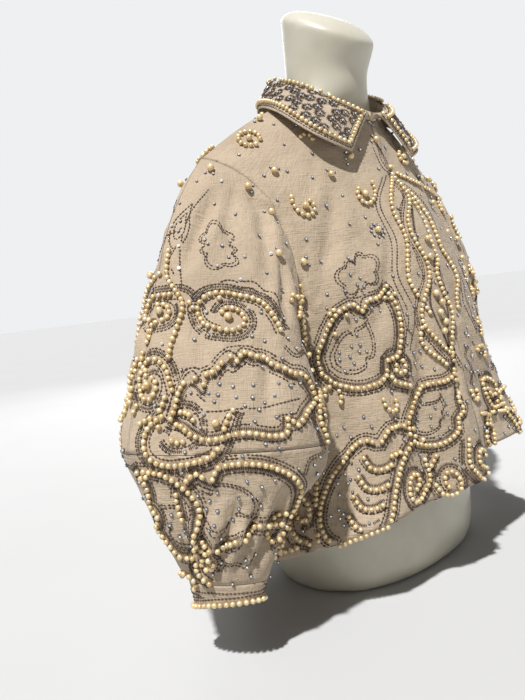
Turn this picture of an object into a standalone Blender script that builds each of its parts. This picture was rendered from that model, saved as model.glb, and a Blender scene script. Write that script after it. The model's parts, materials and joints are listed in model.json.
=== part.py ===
"""A beaded jacket on a limbless dress form, in metres, +Z up.

The form stands on z = 0 and faces -y; +x is the wearer's left.
Each piece of cloth is a wall over a grid of points. The grids meet point by point at the seams,
share their normals there, and are then drawn back by half a seam gap.
"""
import math

import bpy
import numpy as np

# Driving dimensions
WALL = 0.0020            # thickness of the cloth
COLLAR_WALL = 0.0013
SEAM_GAP = 0.0007        # left open between two pieces at a seam
MOST_MITRE = math.radians(42)            # a wall leans this far at most towards its neighbour's
LAP = 0.010              # the right front passes this far over the centre line
LAP_GAP = 0.0026         # air between the two fronts where they lap
LAP_BLEND = 0.020        # width over which the left front sinks under the right one
NOTCH_HEIGHT = 0.568     # where the collar's two ends meet at the front
LAP_ENDS = (NOTCH_HEIGHT - 0.120, NOTCH_HEIGHT - 0.060)      # the lap runs out between these heights
HEM_ROWS = 8             # grid rows from the hem up to the underarm
ARM_ROWS = 14            # grid rows along each half of the armhole
# Where the grid columns of a body panel lie, from the centre (0) to the side (1)
BODY_COLUMNS = (0.0, 0.055, 0.11, 0.18, 0.27, 0.37, 0.48, 0.60, 0.73, 0.87, 1.0)
RELAXING = 10            # rounds of smoothing inside each body panel
LAP_ROWS = 16            # rows from the hem in which the two fronts lap
NECK_ROWS_FRONT = 5      # how many of the armhole rows end on the front neckline
NECK_ROWS_BACK = 4       # and on the back neckline
UPPER_ROWS = 12
LOWER_ROWS = 7
CUFF_ROWS = 2
COLLAR_COLUMNS = 36
STAND_ROWS = 2
QUARTER = 1.657          # end tangent of a cubic that draws a quarter of an ellipse of radius 1

# Centre front of the jacket, from the hem to the collar notch: height and depth
CENTRE_FRONT = [
    # z,     y
    (0.120, -0.1790),
    (0.178, -0.1740),
    (0.220, -0.1665),
    (0.262, -0.1610),
    (0.303, -0.1560),
    (0.345, -0.1490),
    (0.379, -0.1405),
    (0.412, -0.1335),
    (0.442, -0.1235),
    (0.471, -0.1065),
    (0.499, -0.0915),
    (0.535, -0.0770),
    (NOTCH_HEIGHT, -0.0680),
]

# Centre back, from the hem to the neck
CENTRE_BACK = [
    # z,     y
    (0.070, 0.1480),
    (0.150, 0.1360),
    (0.250, 0.1230),
    (0.350, 0.1140),
    (0.440, 0.1040),
    (0.520, 0.0880),
    (0.580, 0.0670),
    (0.612, 0.0520),
]

# Lower ends of the side seams and of the centre front; the left front swings out and up a little
HEM = {
    # side:  side seam x, y, z,         centre z
    "right": (-0.2320, -0.0100, 0.0620, 0.1200),
    "left": (-0.2500, -0.0150, 0.1000, 0.1500),
}

# The neckline seam seen from above is an ellipse; its height rises from the notch to the back
NECK_HALF_WIDTH = 0.072
NECK_MIDDLE_Y = -0.0080
NECK_HALF_DEPTH = 0.0600
NECK_SIDE_ANGLE = math.radians(96)       # the shoulder seam starts here, the notch is at 0
NECK_HEIGHTS = [
    # angle from the notch, z
    (0.0, NOTCH_HEIGHT),
    (45.0, 0.583),
    (96.0, 0.603),
    (140.0, 0.610),
    (180.0, 0.612),
]
SIDE_WAIST = 0.010       # the side seams curve in this much between the underarm and the hem
SHOULDER_DOME = 0.006    # rise of the shoulder seam above a straight line

# The armhole: a tilted ellipse whose top and bottom bend outwards round the shoulder and the side
ARMHOLE_CENTRE = (-0.1690, -0.0120, 0.4140)
ARMHOLE_UP = (0.0, 0.0220, 0.1150)
ARMHOLE_FRONT = (0.0, -0.0630, -0.0100)
ARMHOLE_BACK = 1.05      # the back half is this much deeper than the front half
SHOULDER_BEND = -0.0420
SIDE_BEND = -0.0260

# Sections of each sleeve from the elbow seam down: a centre, the way from it to the outer side, and
# the way to the front; the back is the front way reversed and scaled. Both sleeves are given as if
# on the right; the left one hangs nearer the back.
SECTIONS = {
    "right": [
        # centre x, y, z,            outer x, y, z,            front x, y, z,           back
        (-0.2860, -0.0620, 0.2200,  -0.080, 0.068, 0.009,    -0.039, -0.045, 0.007,    0.75),
        (-0.2840, -0.0650, 0.1830,  -0.072, 0.060, -0.001,   -0.038, -0.042, 0.005,    0.85),
        (-0.2990, -0.0635, 0.1430,  -0.051, 0.0435, -0.003,  -0.030, -0.033, 0.004,    0.90),
        (-0.3040, -0.0620, 0.0880,  -0.025, 0.033, 0.001,    -0.019, -0.020, 0.006,    1.00),
        (-0.3060, -0.0600, 0.0610,  -0.020, 0.030, -0.004,   -0.016, -0.017, 0.009,    1.00),
    ],
    "left": [
        (-0.3240, 0.0500, 0.2280,   -0.080, 0.056, 0.018,    -0.030, -0.046, -0.002,   0.90),
        (-0.3250, 0.0520, 0.1880,   -0.077, 0.053, 0.010,    -0.029, -0.044, -0.002,   0.90),
        (-0.3240, 0.0540, 0.1440,   -0.055, 0.037, 0.005,    -0.024, -0.036, -0.002,   0.95),
        (-0.3230, 0.0560, 0.0920,   -0.034, 0.024, 0.003,    -0.017, -0.026, 0.003,    1.00),
        (-0.3210, 0.0560, 0.0640,   -0.030, 0.021, 0.003,    -0.016, -0.025, 0.003,    1.00),
    ],
}
ELBOW, CUFF_TOP, CUFF_EDGE = 0, 3, 4     # rows of the sections

# The upper sleeve is drawn by threads from the armhole to the elbow seam: how a thread leaves and
# arrives, by its angle round the armhole (0 overarm seam, 90 front, 180 underarm seam, 270 back)
THREADS = [
    # angle, leaves x, y, z,             arrives x, y, z
    (0.0,   -0.145, 0.000, -0.100,      -0.070, 0.000, -0.250),
    (50.0,  -0.090, -0.050, -0.100,     -0.050, -0.010, -0.220),
    (90.0,  -0.065, -0.060, -0.090,     -0.025, -0.010, -0.180),
    (125.0, -0.050, -0.035, -0.085,     -0.005, -0.020, -0.110),
    (180.0, -0.070, -0.010, -0.060,     0.010, -0.050, -0.080),
    (225.0, -0.080, 0.020, -0.070,      -0.010, -0.040, -0.120),
    (270.0, -0.100, 0.040, -0.080,      -0.030, -0.030, -0.190),
    (315.0, -0.135, 0.030, -0.095,      -0.060, -0.010, -0.240),
    (360.0, -0.145, 0.000, -0.100,      -0.070, 0.000, -0.250),
]
# The threads run forward round the sleeve on their way down
TURN_AHEAD = {"right": math.radians(37), "left": math.radians(14)}
TURN_UNEVEN = math.radians(18)           # most of all below the front of the armhole
TURN_PHASE = math.radians(35)
GATHERS = 7              # soft pleats where the lower sleeve meets the cuff
GATHER_DEPTH = 0.0035
GATHER_REACH = (2.35, 0.42)              # the section row where they are deepest, and how far they run

# Collar: the fold line and the leaf's outer edge, by angle from the notch round to the back
COLLAR = [
    # angle, fold x, y, z,               edge x, y, z
    (2.0,   -0.004, -0.0760, 0.5750,    -0.066, -0.0900, 0.5200),
    (20.0,  -0.026, -0.0740, 0.5790,    -0.094, -0.0820, 0.5310),
    (45.0,  -0.053, -0.0570, 0.5920,    -0.112, -0.0620, 0.5490),
    (75.0,  -0.070, -0.0240, 0.6160,    -0.117, -0.0230, 0.5800),
    (105.0, -0.068, 0.0160, 0.6340,     -0.098, 0.0240, 0.6000),
    (145.0, -0.039, 0.0430, 0.6440,     -0.060, 0.0630, 0.6010),
    (180.0,  0.000, 0.0520, 0.6470,      0.000, 0.0780, 0.5960),
]
LEFT_LEAF = 0.86         # the left leaf spreads this much less than the right one
FALL_LIFT = 0.0008       # the leaf lies this far above the top of the stand
STAND_LIFT = 0.0009      # the stand starts this far above the neckline seam
FALL_PROFILE = [
    # share of the way from the fold to the edge, height above that way
    (0.08, 0.0050),
    (0.28, 0.0060),
    (0.52, 0.0045),
    (0.76, 0.0025),
    (1.00, 0.0),
]

# Dress form: sections from the base to the neck
FORM = [
    # z,     half width, y front, y back
    (0.000, 0.146, -0.105, 0.090),
    (0.006, 0.153, -0.112, 0.097),
    (0.030, 0.160, -0.117, 0.102),
    (0.080, 0.163, -0.119, 0.103),
    (0.140, 0.150, -0.110, 0.091),
    (0.200, 0.131, -0.102, 0.078),
    (0.270, 0.138, -0.111, 0.080),
    (0.340, 0.152, -0.118, 0.086),
    (0.400, 0.161, -0.111, 0.086),
    (0.455, 0.170, -0.091, 0.080),
    (0.500, 0.177, -0.066, 0.068),
    (0.530, 0.177, -0.044, 0.052),
    (0.546, 0.165, -0.034, 0.042),
    (0.559, 0.140, -0.031, 0.040),
    (0.574, 0.100, -0.033, 0.040),
    (0.585, 0.080, -0.040, 0.041),
    (0.598, 0.065, -0.050, 0.042),
    (0.615, 0.057, -0.056, 0.045),
    (0.640, 0.054, -0.058, 0.045),
    (0.665, 0.055, -0.066, 0.045),
    (0.690, 0.058, -0.074, 0.042),
    (0.697, 0.0585, -0.0745, 0.0425),
    (0.704, 0.054, -0.070, 0.038),
    (0.711, 0.044, -0.060, 0.028),
    (0.716, 0.029, -0.045, 0.013),
]
FORM_TURN = 28
NECK_SLANT_FROM = 0.615  # above this the sections tilt, up to the slanted cap
NECK_SLANT_FULL = 0.697
NECK_SLANT = 0.54        # rise per metre of y at the cap, towards the back
CROWN_RISE = 0.0015      # middle of the cap above its last section
FORM_SQUARE = 2.3        # exponent of the torso's superellipse sections


def curve(table, where):
    """Smooth curve through the rows of a table whose first column is the parameter."""
    rows = np.array(table, float)
    knots, values = rows[:, 0], rows[:, 1:]
    slopes = np.empty_like(values)
    steps = np.diff(knots)[:, None]
    chords = np.diff(values, axis=0) / steps
    slopes[0], slopes[-1] = chords[0], chords[-1]
    slopes[1:-1] = (chords[:-1] * steps[1:] + chords[1:] * steps[:-1]) / (steps[1:] + steps[:-1])
    where = np.atleast_1d(np.asarray(where, float))
    k = np.clip(np.searchsorted(knots, where, side="right") - 1, 0, len(knots) - 2)
    width = (knots[k + 1] - knots[k])[:, None]
    t = ((where - knots[k])[:, None]) / width
    return (values[k] * (2 * t**3 - 3 * t**2 + 1) + values[k + 1] * (3 * t**2 - 2 * t**3)
            + slopes[k] * width * (t**3 - 2 * t**2 + t) + slopes[k + 1] * width * (t**3 - t**2))


def ease(x, start, end):
    """0 before start, 1 after end, smooth between."""
    t = np.clip((np.asarray(x, float) - start) / (end - start), 0.0, 1.0)
    return t * t * (3 - 2 * t)


def bump(x, middle, reach):
    """A soft hill of height 1."""
    return np.exp(-((np.asarray(x, float) - middle) / reach) ** 2)


def armhole_ring(turns):
    """Points of the armhole seam; turn is 0 at the shoulder, pi / 2 at the front, pi at the side."""
    turns = np.asarray(turns, float)
    depth = np.sin(turns) * np.where(np.sin(turns) < 0, ARMHOLE_BACK, 1.0)
    points = np.array(ARMHOLE_CENTRE) + np.outer(np.cos(turns), ARMHOLE_UP) + np.outer(depth, ARMHOLE_FRONT)
    rise = np.cos(turns)
    points[:, 0] += np.where(rise > 0, SHOULDER_BEND * rise**4, SIDE_BEND * rise**2)
    return points


def section_turns(side, turns):
    """Where the threads that leave the armhole at these turns lie in the sections below."""
    return turns + TURN_AHEAD[side] + TURN_UNEVEN * np.sin(turns - TURN_PHASE)


def section_row(side, station):
    numbered = [(k,) + row for k, row in enumerate(SECTIONS[side])]
    return curve(numbered, station)[0]


def section_ring(side, station, turns):
    """Points of one section below the elbow seam, on the threads of these armhole turns."""
    row = section_row(side, station)
    centre, outer, front, back = row[0:3], row[3:6], row[6:9], row[9]
    place = section_turns(side, turns)
    depth = np.sin(place) * np.where(np.sin(place) < 0, back, 1.0)
    return centre + np.outer(np.cos(place), outer) + np.outer(depth, front)


def upper_sleeve_ring(side, t, turns):
    """Points of the upper sleeve a share t of the way from the armhole to the elbow seam."""
    ways = curve(THREADS, np.degrees(turns))
    start, end = armhole_ring(turns), section_ring(side, ELBOW, turns)
    return (start * (2 * t**3 - 3 * t**2 + 1) + end * (3 * t**2 - 2 * t**3)
            + ways[:, :3] * (t**3 - 2 * t**2 + t) + ways[:, 3:] * (t**3 - t**2))


def neck_point(angle):
    """Right half of the neckline seam; angle in radians from the notch."""
    z = curve(NECK_HEIGHTS, np.degrees(angle))[:, 0]
    x = -NECK_HALF_WIDTH * np.sin(angle)
    y = NECK_MIDDLE_Y - NECK_HALF_DEPTH * np.cos(angle)
    return np.stack([x, y, z], axis=-1)


def centre_line(table, heights, lap):
    """Points down the centre front or back."""
    y = curve(table, heights)[:, 0]
    return np.stack([lap, y, heights], axis=-1)


def armhole_turns(front):
    """Turns of the armhole points from the underarm to the shoulder tip."""
    steps = np.linspace(0.0, math.pi, ARM_ROWS + 1)
    return math.pi - steps if front else math.pi + steps


def body_edges(front, side):
    """The two long edges of a half panel, row by row from the hem to the shoulder seam."""
    table = CENTRE_FRONT if front else CENTRE_BACK
    neck_rows = NECK_ROWS_FRONT if front else NECK_ROWS_BACK
    side_top = armhole_ring([math.pi])[0]
    rise = np.linspace(0, 1, HEM_ROWS + 1)[:, None]
    side_seam = np.array(HEM[side][:3]) * (1 - rise) + side_top * rise
    side_seam[:, 0] += SIDE_WAIST * np.sin(np.pi * rise[:, 0])
    armhole = armhole_ring(armhole_turns(front))
    outer = np.vstack([side_seam, armhole[1:]])

    hem_z, top_z = HEM[side][3] if front else table[0][0], table[-1][0]
    chest_z = side_top[2] + 0.004
    heights = np.concatenate([
        np.linspace(hem_z, chest_z, HEM_ROWS + 1),
        np.linspace(chest_z, top_z, ARM_ROWS - neck_rows + 1)[1:]])
    lap = LAP * (1 - ease(heights, *LAP_ENDS)) - SEAM_GAP / 2 if front else np.zeros_like(heights)
    middle = centre_line(table, heights, lap)
    start, end = (0.0, NECK_SIDE_ANGLE) if front else (math.pi, NECK_SIDE_ANGLE)
    neck = neck_point(np.linspace(start, end, neck_rows + 1))
    middle = np.vstack([middle, neck[1:]])
    return middle, outer


def roundness():
    """1 where a row turns a full quarter round the body, 0 on the straight shoulder seam."""
    row = np.arange(HEM_ROWS + ARM_ROWS + 1)
    return 1 - ease(row, HEM_ROWS, HEM_ROWS + ARM_ROWS - 1)


# Folds of the body panels, as hills and troughs: where across the panel (0 centre, 1 side), how wide,
# how far out, and the share of the height over which they fade from the hem up
FRONT_FOLDS = {
    "right": [
        # across, width, depth, fades at
        (0.10, 0.07, 0.004, 0.40),
        (0.24, 0.08, -0.020, 0.38),
        (0.42, 0.08, 0.010, 0.42),
        (0.60, 0.07, -0.008, 0.36),
        (0.80, 0.08, 0.006, 0.40),
    ],
    "left": [
        (0.17, 0.08, -0.010, 0.36),
        (0.46, 0.14, 0.018, 0.46),
        (0.72, 0.08, -0.008, 0.40),
        (0.88, 0.07, 0.006, 0.40),
    ],
}
BACK_FOLDS = [
    (0.12, 0.09, 0.006, 0.60),
    (0.30, 0.08, -0.009, 0.55),
    (0.50, 0.10, 0.010, 0.60),
    (0.72, 0.08, -0.008, 0.55),
    (0.90, 0.07, 0.006, 0.50),
]


def drape(folds, across, up):
    """How far out the folds move each point of a body panel."""
    depth = np.zeros_like(across)
    for middle, width, height, fades in folds:
        depth += height * bump(across, middle, width) * (1 - ease(up, 0.0, fades))
    return depth


def surface_normals(grid, closed=False):
    """Unit normals of a grid of points, pointing along d/dcolumn x d/drow."""
    if closed:
        across = np.roll(grid, -1, axis=1) - np.roll(grid, 1, axis=1)
    else:
        across = np.gradient(grid, axis=1)
    along = np.gradient(grid, axis=0)
    normals = np.cross(across, along)
    return normals / np.linalg.norm(normals, axis=2, keepdims=True)


def front_grid(side):
    """One front as if on the right: rows from the hem up, columns from the centre to the side."""
    return body_grid(*body_edges(True, side), FRONT_FOLDS[side], LAP_ROWS)


def back_grid(side):
    """One half of the back, as if on the right."""
    middle, outer = body_edges(False, side)
    middle[:HEM_ROWS + ARM_ROWS - NECK_ROWS_BACK + 1, 0] = 0.0
    return body_grid(middle, outer, BACK_FOLDS, 0)


def relaxed(grid, held_rows):
    """The grid with its inner points drawn towards their neighbours; the lap stays in the held rows."""
    grid = grid.copy()
    share = np.full(grid.shape[:2], 0.5)
    share[:held_rows, :3] = 0.0
    for _ in range(RELAXING):
        around = (grid[:-2, 1:-1] + grid[2:, 1:-1] + grid[1:-1, :-2] + grid[1:-1, 2:]) / 4
        grid[1:-1, 1:-1] += share[1:-1, 1:-1, None] * (around - grid[1:-1, 1:-1])
    return grid


def body_grid(middle, outer, folds, held_rows):
    t = np.array(BODY_COLUMNS)[None, :, None]
    chord = (outer - middle)[:, None, :]
    r = roundness()[:, None, None]
    leave = chord * (1 - r) + chord * np.array([QUARTER, 0.0, 0.0]) * r
    arrive = chord * (1 - r) + chord * np.array([0.0, QUARTER, 1.2]) * r
    leave[:, 0, 2] = chord[:, 0, 2] * ease(np.arange(len(middle)), LAP_ROWS - 2, len(middle))
    grid = (middle[:, None, :] * (2 * t**3 - 3 * t**2 + 1) + outer[:, None, :] * (3 * t**2 - 2 * t**3)
            + leave * (t**3 - 2 * t**2 + t) + arrive * (t**3 - t**2))
    up, across = np.meshgrid(np.linspace(0, 1, len(grid)), BODY_COLUMNS, indexing="ij")
    grid[:, :, 2] += SHOULDER_DOME * np.sin(np.pi * across) * ease(up, 0.75, 1.0)
    grid = relaxed(grid, held_rows)
    outward = surface_normals(grid)
    if np.sum(outward[:, :, 1] * grid[:, :, 1]) < 0:
        outward = -outward
    edge_fade = ease(across, 0.0, 0.08) * (1 - ease(across, 0.92, 1.0))
    return grid + outward * (drape(folds, across, up) * edge_fade)[:, :, None]


def mirrored(grid):
    return grid * np.array([-1.0, 1.0, 1.0])


class Cloth:
    """One piece of cloth: a grid of outer points, and whether its columns close into a tube."""

    def __init__(self, name, grid, closed=False, wall=WALL):
        self.name, self.grid, self.closed, self.wall = name, grid, closed, wall
        self.normals = surface_normals(grid, closed)


def key_of(point):
    return tuple(np.round(np.asarray(point) * 5000).astype(int))


def share_normals(pieces):
    """Give coincident points of all pieces one common normal, so that walls meet evenly."""
    total = {}
    for piece in pieces:
        for point, normal in zip(piece.grid.reshape(-1, 3), piece.normals.reshape(-1, 3)):
            total.setdefault(key_of(point), []).append(normal)
    for piece in pieces:
        flat = [np.sum(total[key_of(p)], axis=0) for p in piece.grid.reshape(-1, 3)]
        flat = np.array(flat).reshape(piece.grid.shape)
        flat /= np.linalg.norm(flat, axis=2, keepdims=True)
        across = flat - piece.normals * np.sum(flat * piece.normals, axis=2, keepdims=True)
        lean = np.arctan2(np.linalg.norm(across, axis=2), np.sum(flat * piece.normals, axis=2))
        across /= np.maximum(np.linalg.norm(across, axis=2, keepdims=True), 1e-12)
        lean = np.minimum(lean, MOST_MITRE)[:, :, None]
        piece.normals = piece.normals * np.cos(lean) + across * np.sin(lean)


def draw_back(piece):
    """Move a piece's edges in by half a seam gap, along the surface."""
    grid, move = piece.grid, np.zeros_like(piece.grid)
    edges = [((0, slice(None)), (1, slice(None))), ((-1, slice(None)), (-2, slice(None)))]
    if not piece.closed:
        edges += [((slice(None), 0), (slice(None), 1)), ((slice(None), -1), (slice(None), -2))]
    for edge, inner in edges:
        way = grid[inner] - grid[edge]
        normal = piece.normals[edge]
        way -= normal * np.sum(way * normal, axis=-1, keepdims=True)
        move[edge] += way / np.linalg.norm(way, axis=-1, keepdims=True) * SEAM_GAP / 2
    return grid + move


def wall_mesh(piece):
    """Closed wall: outer grid, inner grid split along the same diagonals, and a rim."""
    outer = draw_back(piece)
    inner = outer - piece.normals * piece.wall
    rows, columns = outer.shape[:2]
    points = np.vstack([outer.reshape(-1, 3), inner.reshape(-1, 3)])
    count = rows * columns
    faces = []
    spans = columns if piece.closed else columns - 1
    for r in range(rows - 1):
        for c in range(spans):
            d = (c + 1) % columns
            a, b, e, f = r * columns + c, r * columns + d, (r + 1) * columns + d, (r + 1) * columns + c
            if np.linalg.norm(points[a] - points[e]) < np.linalg.norm(points[b] - points[f]):
                halves = ((a, b, e), (a, e, f))
            else:
                halves = ((a, b, f), (b, e, f))
            for half in halves:
                faces.append(half)
                faces.append(tuple(count + k for k in half[::-1]))
    for r, flip in ((0, False), (rows - 1, True)):
        for c in range(spans):
            d = (c + 1) % columns
            a, b = r * columns + c, r * columns + d
            quad = (b, a, count + a, count + b)
            faces.append(quad[::-1] if flip else quad)
    if not piece.closed:
        for c, flip in ((0, True), (columns - 1, False)):
            for r in range(rows - 1):
                a, b = r * columns + c, (r + 1) * columns + c
                quad = (b, a, count + a, count + b)
                faces.append(quad[::-1] if flip else quad)
    return points, faces


def add_object(name, points, faces, material):
    mesh = bpy.data.meshes.new(name)
    mesh.from_pydata([tuple(map(float, p)) for p in points], [], faces)
    mesh.materials.append(material)
    mesh.shade_smooth()
    mesh.update()
    thing = bpy.data.objects.new(name, mesh)
    bpy.context.scene.collection.objects.link(thing)
    return thing


def facing_out(grid, middles):
    """Order the columns so that the grid's normals point away from the middles, one a row."""
    normals = surface_normals(grid)
    away = grid - np.asarray(middles)[:, None, :]
    inner = (slice(1, -1), slice(1, -1))
    if np.sum(normals[inner] * away[inner]) < 0:
        return grid[:, ::-1]
    return grid


def body_cloths():
    """The two fronts and the two halves of the back."""
    right = front_grid("right")
    left = mirrored(front_grid("left"))
    under = 1 - ease(left[:, :, 0], LAP + 0.004, LAP + 0.004 + LAP_BLEND)
    below_notch = 1 - ease(left[:, :, 2], LAP_ENDS[1], LAP_ENDS[1] + 0.040)
    left[:, :, 1] += (WALL + LAP_GAP) * under * below_notch
    back_right, back_left = back_grid("right"), mirrored(back_grid("left"))
    cloths = []
    for name, grid in (("front_right", right), ("front_left", left),
                       ("back_right", back_right), ("back_left", back_left)):
        middles = np.stack([np.array([np.mean(row[:, 0]) * 0.4, 0.0, np.mean(row[:, 2])]) for row in grid])
        cloths.append(Cloth(name, facing_out(grid, middles)))
    return cloths


def sleeve_cloths(side):
    """Upper sleeve front and back, lower sleeve and cuff of one side."""
    front_turns = np.linspace(0.0, math.pi, ARM_ROWS + 1)
    round_turns = np.linspace(0.0, 2 * math.pi, 2 * ARM_ROWS, endpoint=False)
    pieces = []
    for name, turns in (("front", front_turns), ("back", front_turns + math.pi)):
        shares = np.linspace(0.0, 1.0, UPPER_ROWS + 1)
        rings = [upper_sleeve_ring(side, t, turns) for t in shares]
        middles = [upper_sleeve_ring(side, t, round_turns).mean(axis=0) for t in shares]
        folds = upper_folds(shares, turns)
        pieces.append((f"upper_sleeve_{name}_{side}", rings, middles, folds, False))
    for name, first, last, rows in (("lower_sleeve", ELBOW, CUFF_TOP, LOWER_ROWS),
                                    ("cuff", CUFF_TOP, CUFF_EDGE, CUFF_ROWS)):
        stations = np.linspace(first, last, rows + 1)
        rings = [section_ring(side, s, round_turns) for s in stations]
        middles = [section_row(side, s)[:3] for s in stations]
        folds = lower_folds(stations, round_turns)
        pieces.append((f"{name}_{side}", rings, middles, folds, True))
    cloths = []
    for name, rings, middles, folds, closed in pieces:
        grid, middles = np.stack(rings), np.stack(middles)
        away = grid - middles[:, None, :]
        away /= np.linalg.norm(away, axis=2, keepdims=True)
        grid = grid + away * folds[:, :, None]
        if side == "left":
            grid, middles = mirrored(grid), middles * np.array([-1.0, 1.0, 1.0])
        cloths.append(Cloth(name, facing_out(grid, middles), closed))
    return cloths


# Soft folds of the upper sleeve: where round it (degrees from the overarm seam), how wide, how far out,
# and where and how widely along it (0 armhole, 1 elbow seam)
UPPER_FOLDS = [
    # angle, width, depth, along, reach
    (38.0, 13.0, -0.010, 0.34, 0.17),
    (66.0, 14.0, 0.005, 0.45, 0.22),
    (105.0, 11.0, -0.006, 0.40, 0.16),
    (250.0, 16.0, -0.006, 0.40, 0.20),
    (300.0, 16.0, 0.005, 0.50, 0.22),
]


def upper_folds(shares, turns):
    """How far out the folds move each point; 0 at both seams."""
    depth = np.zeros((len(shares), len(turns)))
    for angle, width, height, along, reach in UPPER_FOLDS:
        depth += height * np.outer(bump(shares, along, reach), bump(np.degrees(turns), angle, width))
    return depth * np.sin(np.pi * shares)[:, None] ** 0.5


def lower_folds(stations, turns):
    """The gathers above the cuff."""
    strength = bump(stations, *GATHER_REACH) * ease(stations, CUFF_TOP, CUFF_TOP - 0.2)
    return GATHER_DEPTH * np.outer(strength, np.cos(GATHERS * turns))


def neckline_corners():
    """Right half of the neckline as the body's own grid points, from the notch to the back."""
    front, _ = body_edges(True, "right")
    back, _ = body_edges(False, "right")
    return np.vstack([front[-NECK_ROWS_FRONT - 1:], back[-NECK_ROWS_BACK - 1:-1][::-1]])


def collar_half(leaf):
    """The right half of the collar's skin: up the stand, over the fold and down the leaf."""
    corners = neckline_corners()
    between = np.linspace(0, len(corners) - 1, COLLAR_COLUMNS // 2 + 1)
    foot = np.stack([np.interp(between, np.arange(len(corners)), corners[:, k]) for k in range(3)], axis=-1)
    side_turn = math.degrees(NECK_SIDE_ANGLE)
    angles = np.interp(between, [0, NECK_ROWS_FRONT, len(corners) - 1], [0.0, side_turn, 180.0])
    places = curve(COLLAR, np.maximum(angles, COLLAR[0][0]))
    fold, edge = places[:, :3], places[:, 3:]
    edge[:, :2] = fold[:, :2] + (edge - fold)[:, :2] * leaf
    foot = foot + np.array([0.0, 0.0, STAND_LIFT])
    foot[0, 0] = fold[0, 0] = -SEAM_GAP
    rows = [foot + (fold - foot) * t for t in np.linspace(0, 1, STAND_ROWS + 1)]
    way = edge - fold
    flat = way / np.linalg.norm(way, axis=1, keepdims=True)
    out = way * np.array([1.0, 1.0, 0.0])
    out /= np.linalg.norm(out, axis=1, keepdims=True)
    lift = np.array([0.0, 0.0, 1.0]) - flat * flat[:, 2:3]
    lift /= np.linalg.norm(lift, axis=1, keepdims=True)
    for share, height in FALL_PROFILE:
        rows.append(fold + way * share + lift * height)
    return np.stack(rows)


def collar_cloths():
    right, left = collar_half(1.0), mirrored(collar_half(LEFT_LEAF))
    middle = (right[:, -1:] + left[:, -1:]) / 2
    grid = np.concatenate([right[:, :-1], middle, left[:, ::-1][:, 1:]], axis=1)
    normals = surface_normals(grid)
    if normals[-2, COLLAR_COLUMNS // 2, 2] < 0:
        grid, normals = grid[:, ::-1], -normals[:, ::-1]
    stand = Cloth("collar_stand", grid[:STAND_ROWS + 1], wall=COLLAR_WALL)
    fall = Cloth("collar_fall", grid[STAND_ROWS:], wall=COLLAR_WALL)
    stand.normals, fall.normals = normals[:STAND_ROWS + 1], normals[STAND_ROWS:]
    fall.grid = fall.grid + np.array([0.0, 0.0, FALL_LIFT])
    return [stand, fall]


def form_section(row):
    """One closed section of the dress form."""
    z, half_width, front, back = row
    turns = np.linspace(0, 2 * math.pi, FORM_TURN, endpoint=False)
    neck = ease(z, 0.585, NECK_SLANT_FROM)
    power = 2 / (FORM_SQUARE * (1 - neck) + 2.0 * neck)
    middle, depth = (front + back) / 2, (back - front) / 2
    x = half_width * np.sign(np.cos(turns)) * np.abs(np.cos(turns)) ** power
    y = depth * np.sign(np.sin(turns)) * np.abs(np.sin(turns)) ** power
    slant = NECK_SLANT * ease(z, NECK_SLANT_FROM, NECK_SLANT_FULL)
    return np.stack([x, y + middle, z + slant * y], axis=-1)


def form_mesh():
    rings = [form_section(row) for row in FORM]
    crown = rings[-1].mean(axis=0) + np.array([0.0, 0.0, CROWN_RISE])
    points = np.vstack(rings + [rings[0].mean(axis=0), crown])
    faces = []
    last = (len(rings) - 1) * FORM_TURN
    for r in range(len(rings) - 1):
        for c in range(FORM_TURN):
            d = (c + 1) % FORM_TURN
            a, b = r * FORM_TURN + c, r * FORM_TURN + d
            faces.append((a, b, b + FORM_TURN, a + FORM_TURN))
    for c in range(FORM_TURN):
        d = (c + 1) % FORM_TURN
        faces.append((d, c, len(points) - 2))
        faces.append((last + c, last + d, len(points) - 1))
    return points, faces


def material(name, colour, roughness, metallic=0.0):
    made = bpy.data.materials.new(name)
    made.use_nodes = True
    shader = made.node_tree.nodes["Principled BSDF"]
    shader.inputs["Base Color"].default_value = (*colour, 1.0)
    shader.inputs["Roughness"].default_value = roughness
    shader.inputs["Metallic"].default_value = metallic
    return made


def clear_scene():
    for thing in list(bpy.data.objects):
        bpy.data.objects.remove(thing, do_unlink=True)


def main():
    clear_scene()
    linen = material("beige_linen", (0.56, 0.43, 0.31), 0.85)
    collar_linen = material("collar_linen", (0.48, 0.38, 0.29), 0.85)
    plastic = material("cream_plastic", (0.66, 0.62, 0.50), 0.38)
    body = body_cloths() + sleeve_cloths("right") + sleeve_cloths("left")
    share_normals(body)
    collar = collar_cloths()
    for cloth in body:
        add_object(cloth.name, *wall_mesh(cloth), linen)
    for cloth in collar:
        add_object(cloth.name, *wall_mesh(cloth), collar_linen)
    add_object("dress_form", *form_mesh(), plastic)


main()
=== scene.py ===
# %% [markdown]
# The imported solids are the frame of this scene: they give every panel of the jacket its true place and size.
# Each cloth panel is copied, smoothed and creased, and all the beadwork is sewn on to those copies,
# because beads that are placed on the cloth itself stay on it from whatever side the jacket is seen.

# %% Load the frame
import json
import math
import random

import bmesh
import bpy
import numpy as np
from mathutils import Matrix, Vector, noise
from mathutils.bvhtree import BVHTree
from mathutils.kdtree import KDTree


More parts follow.
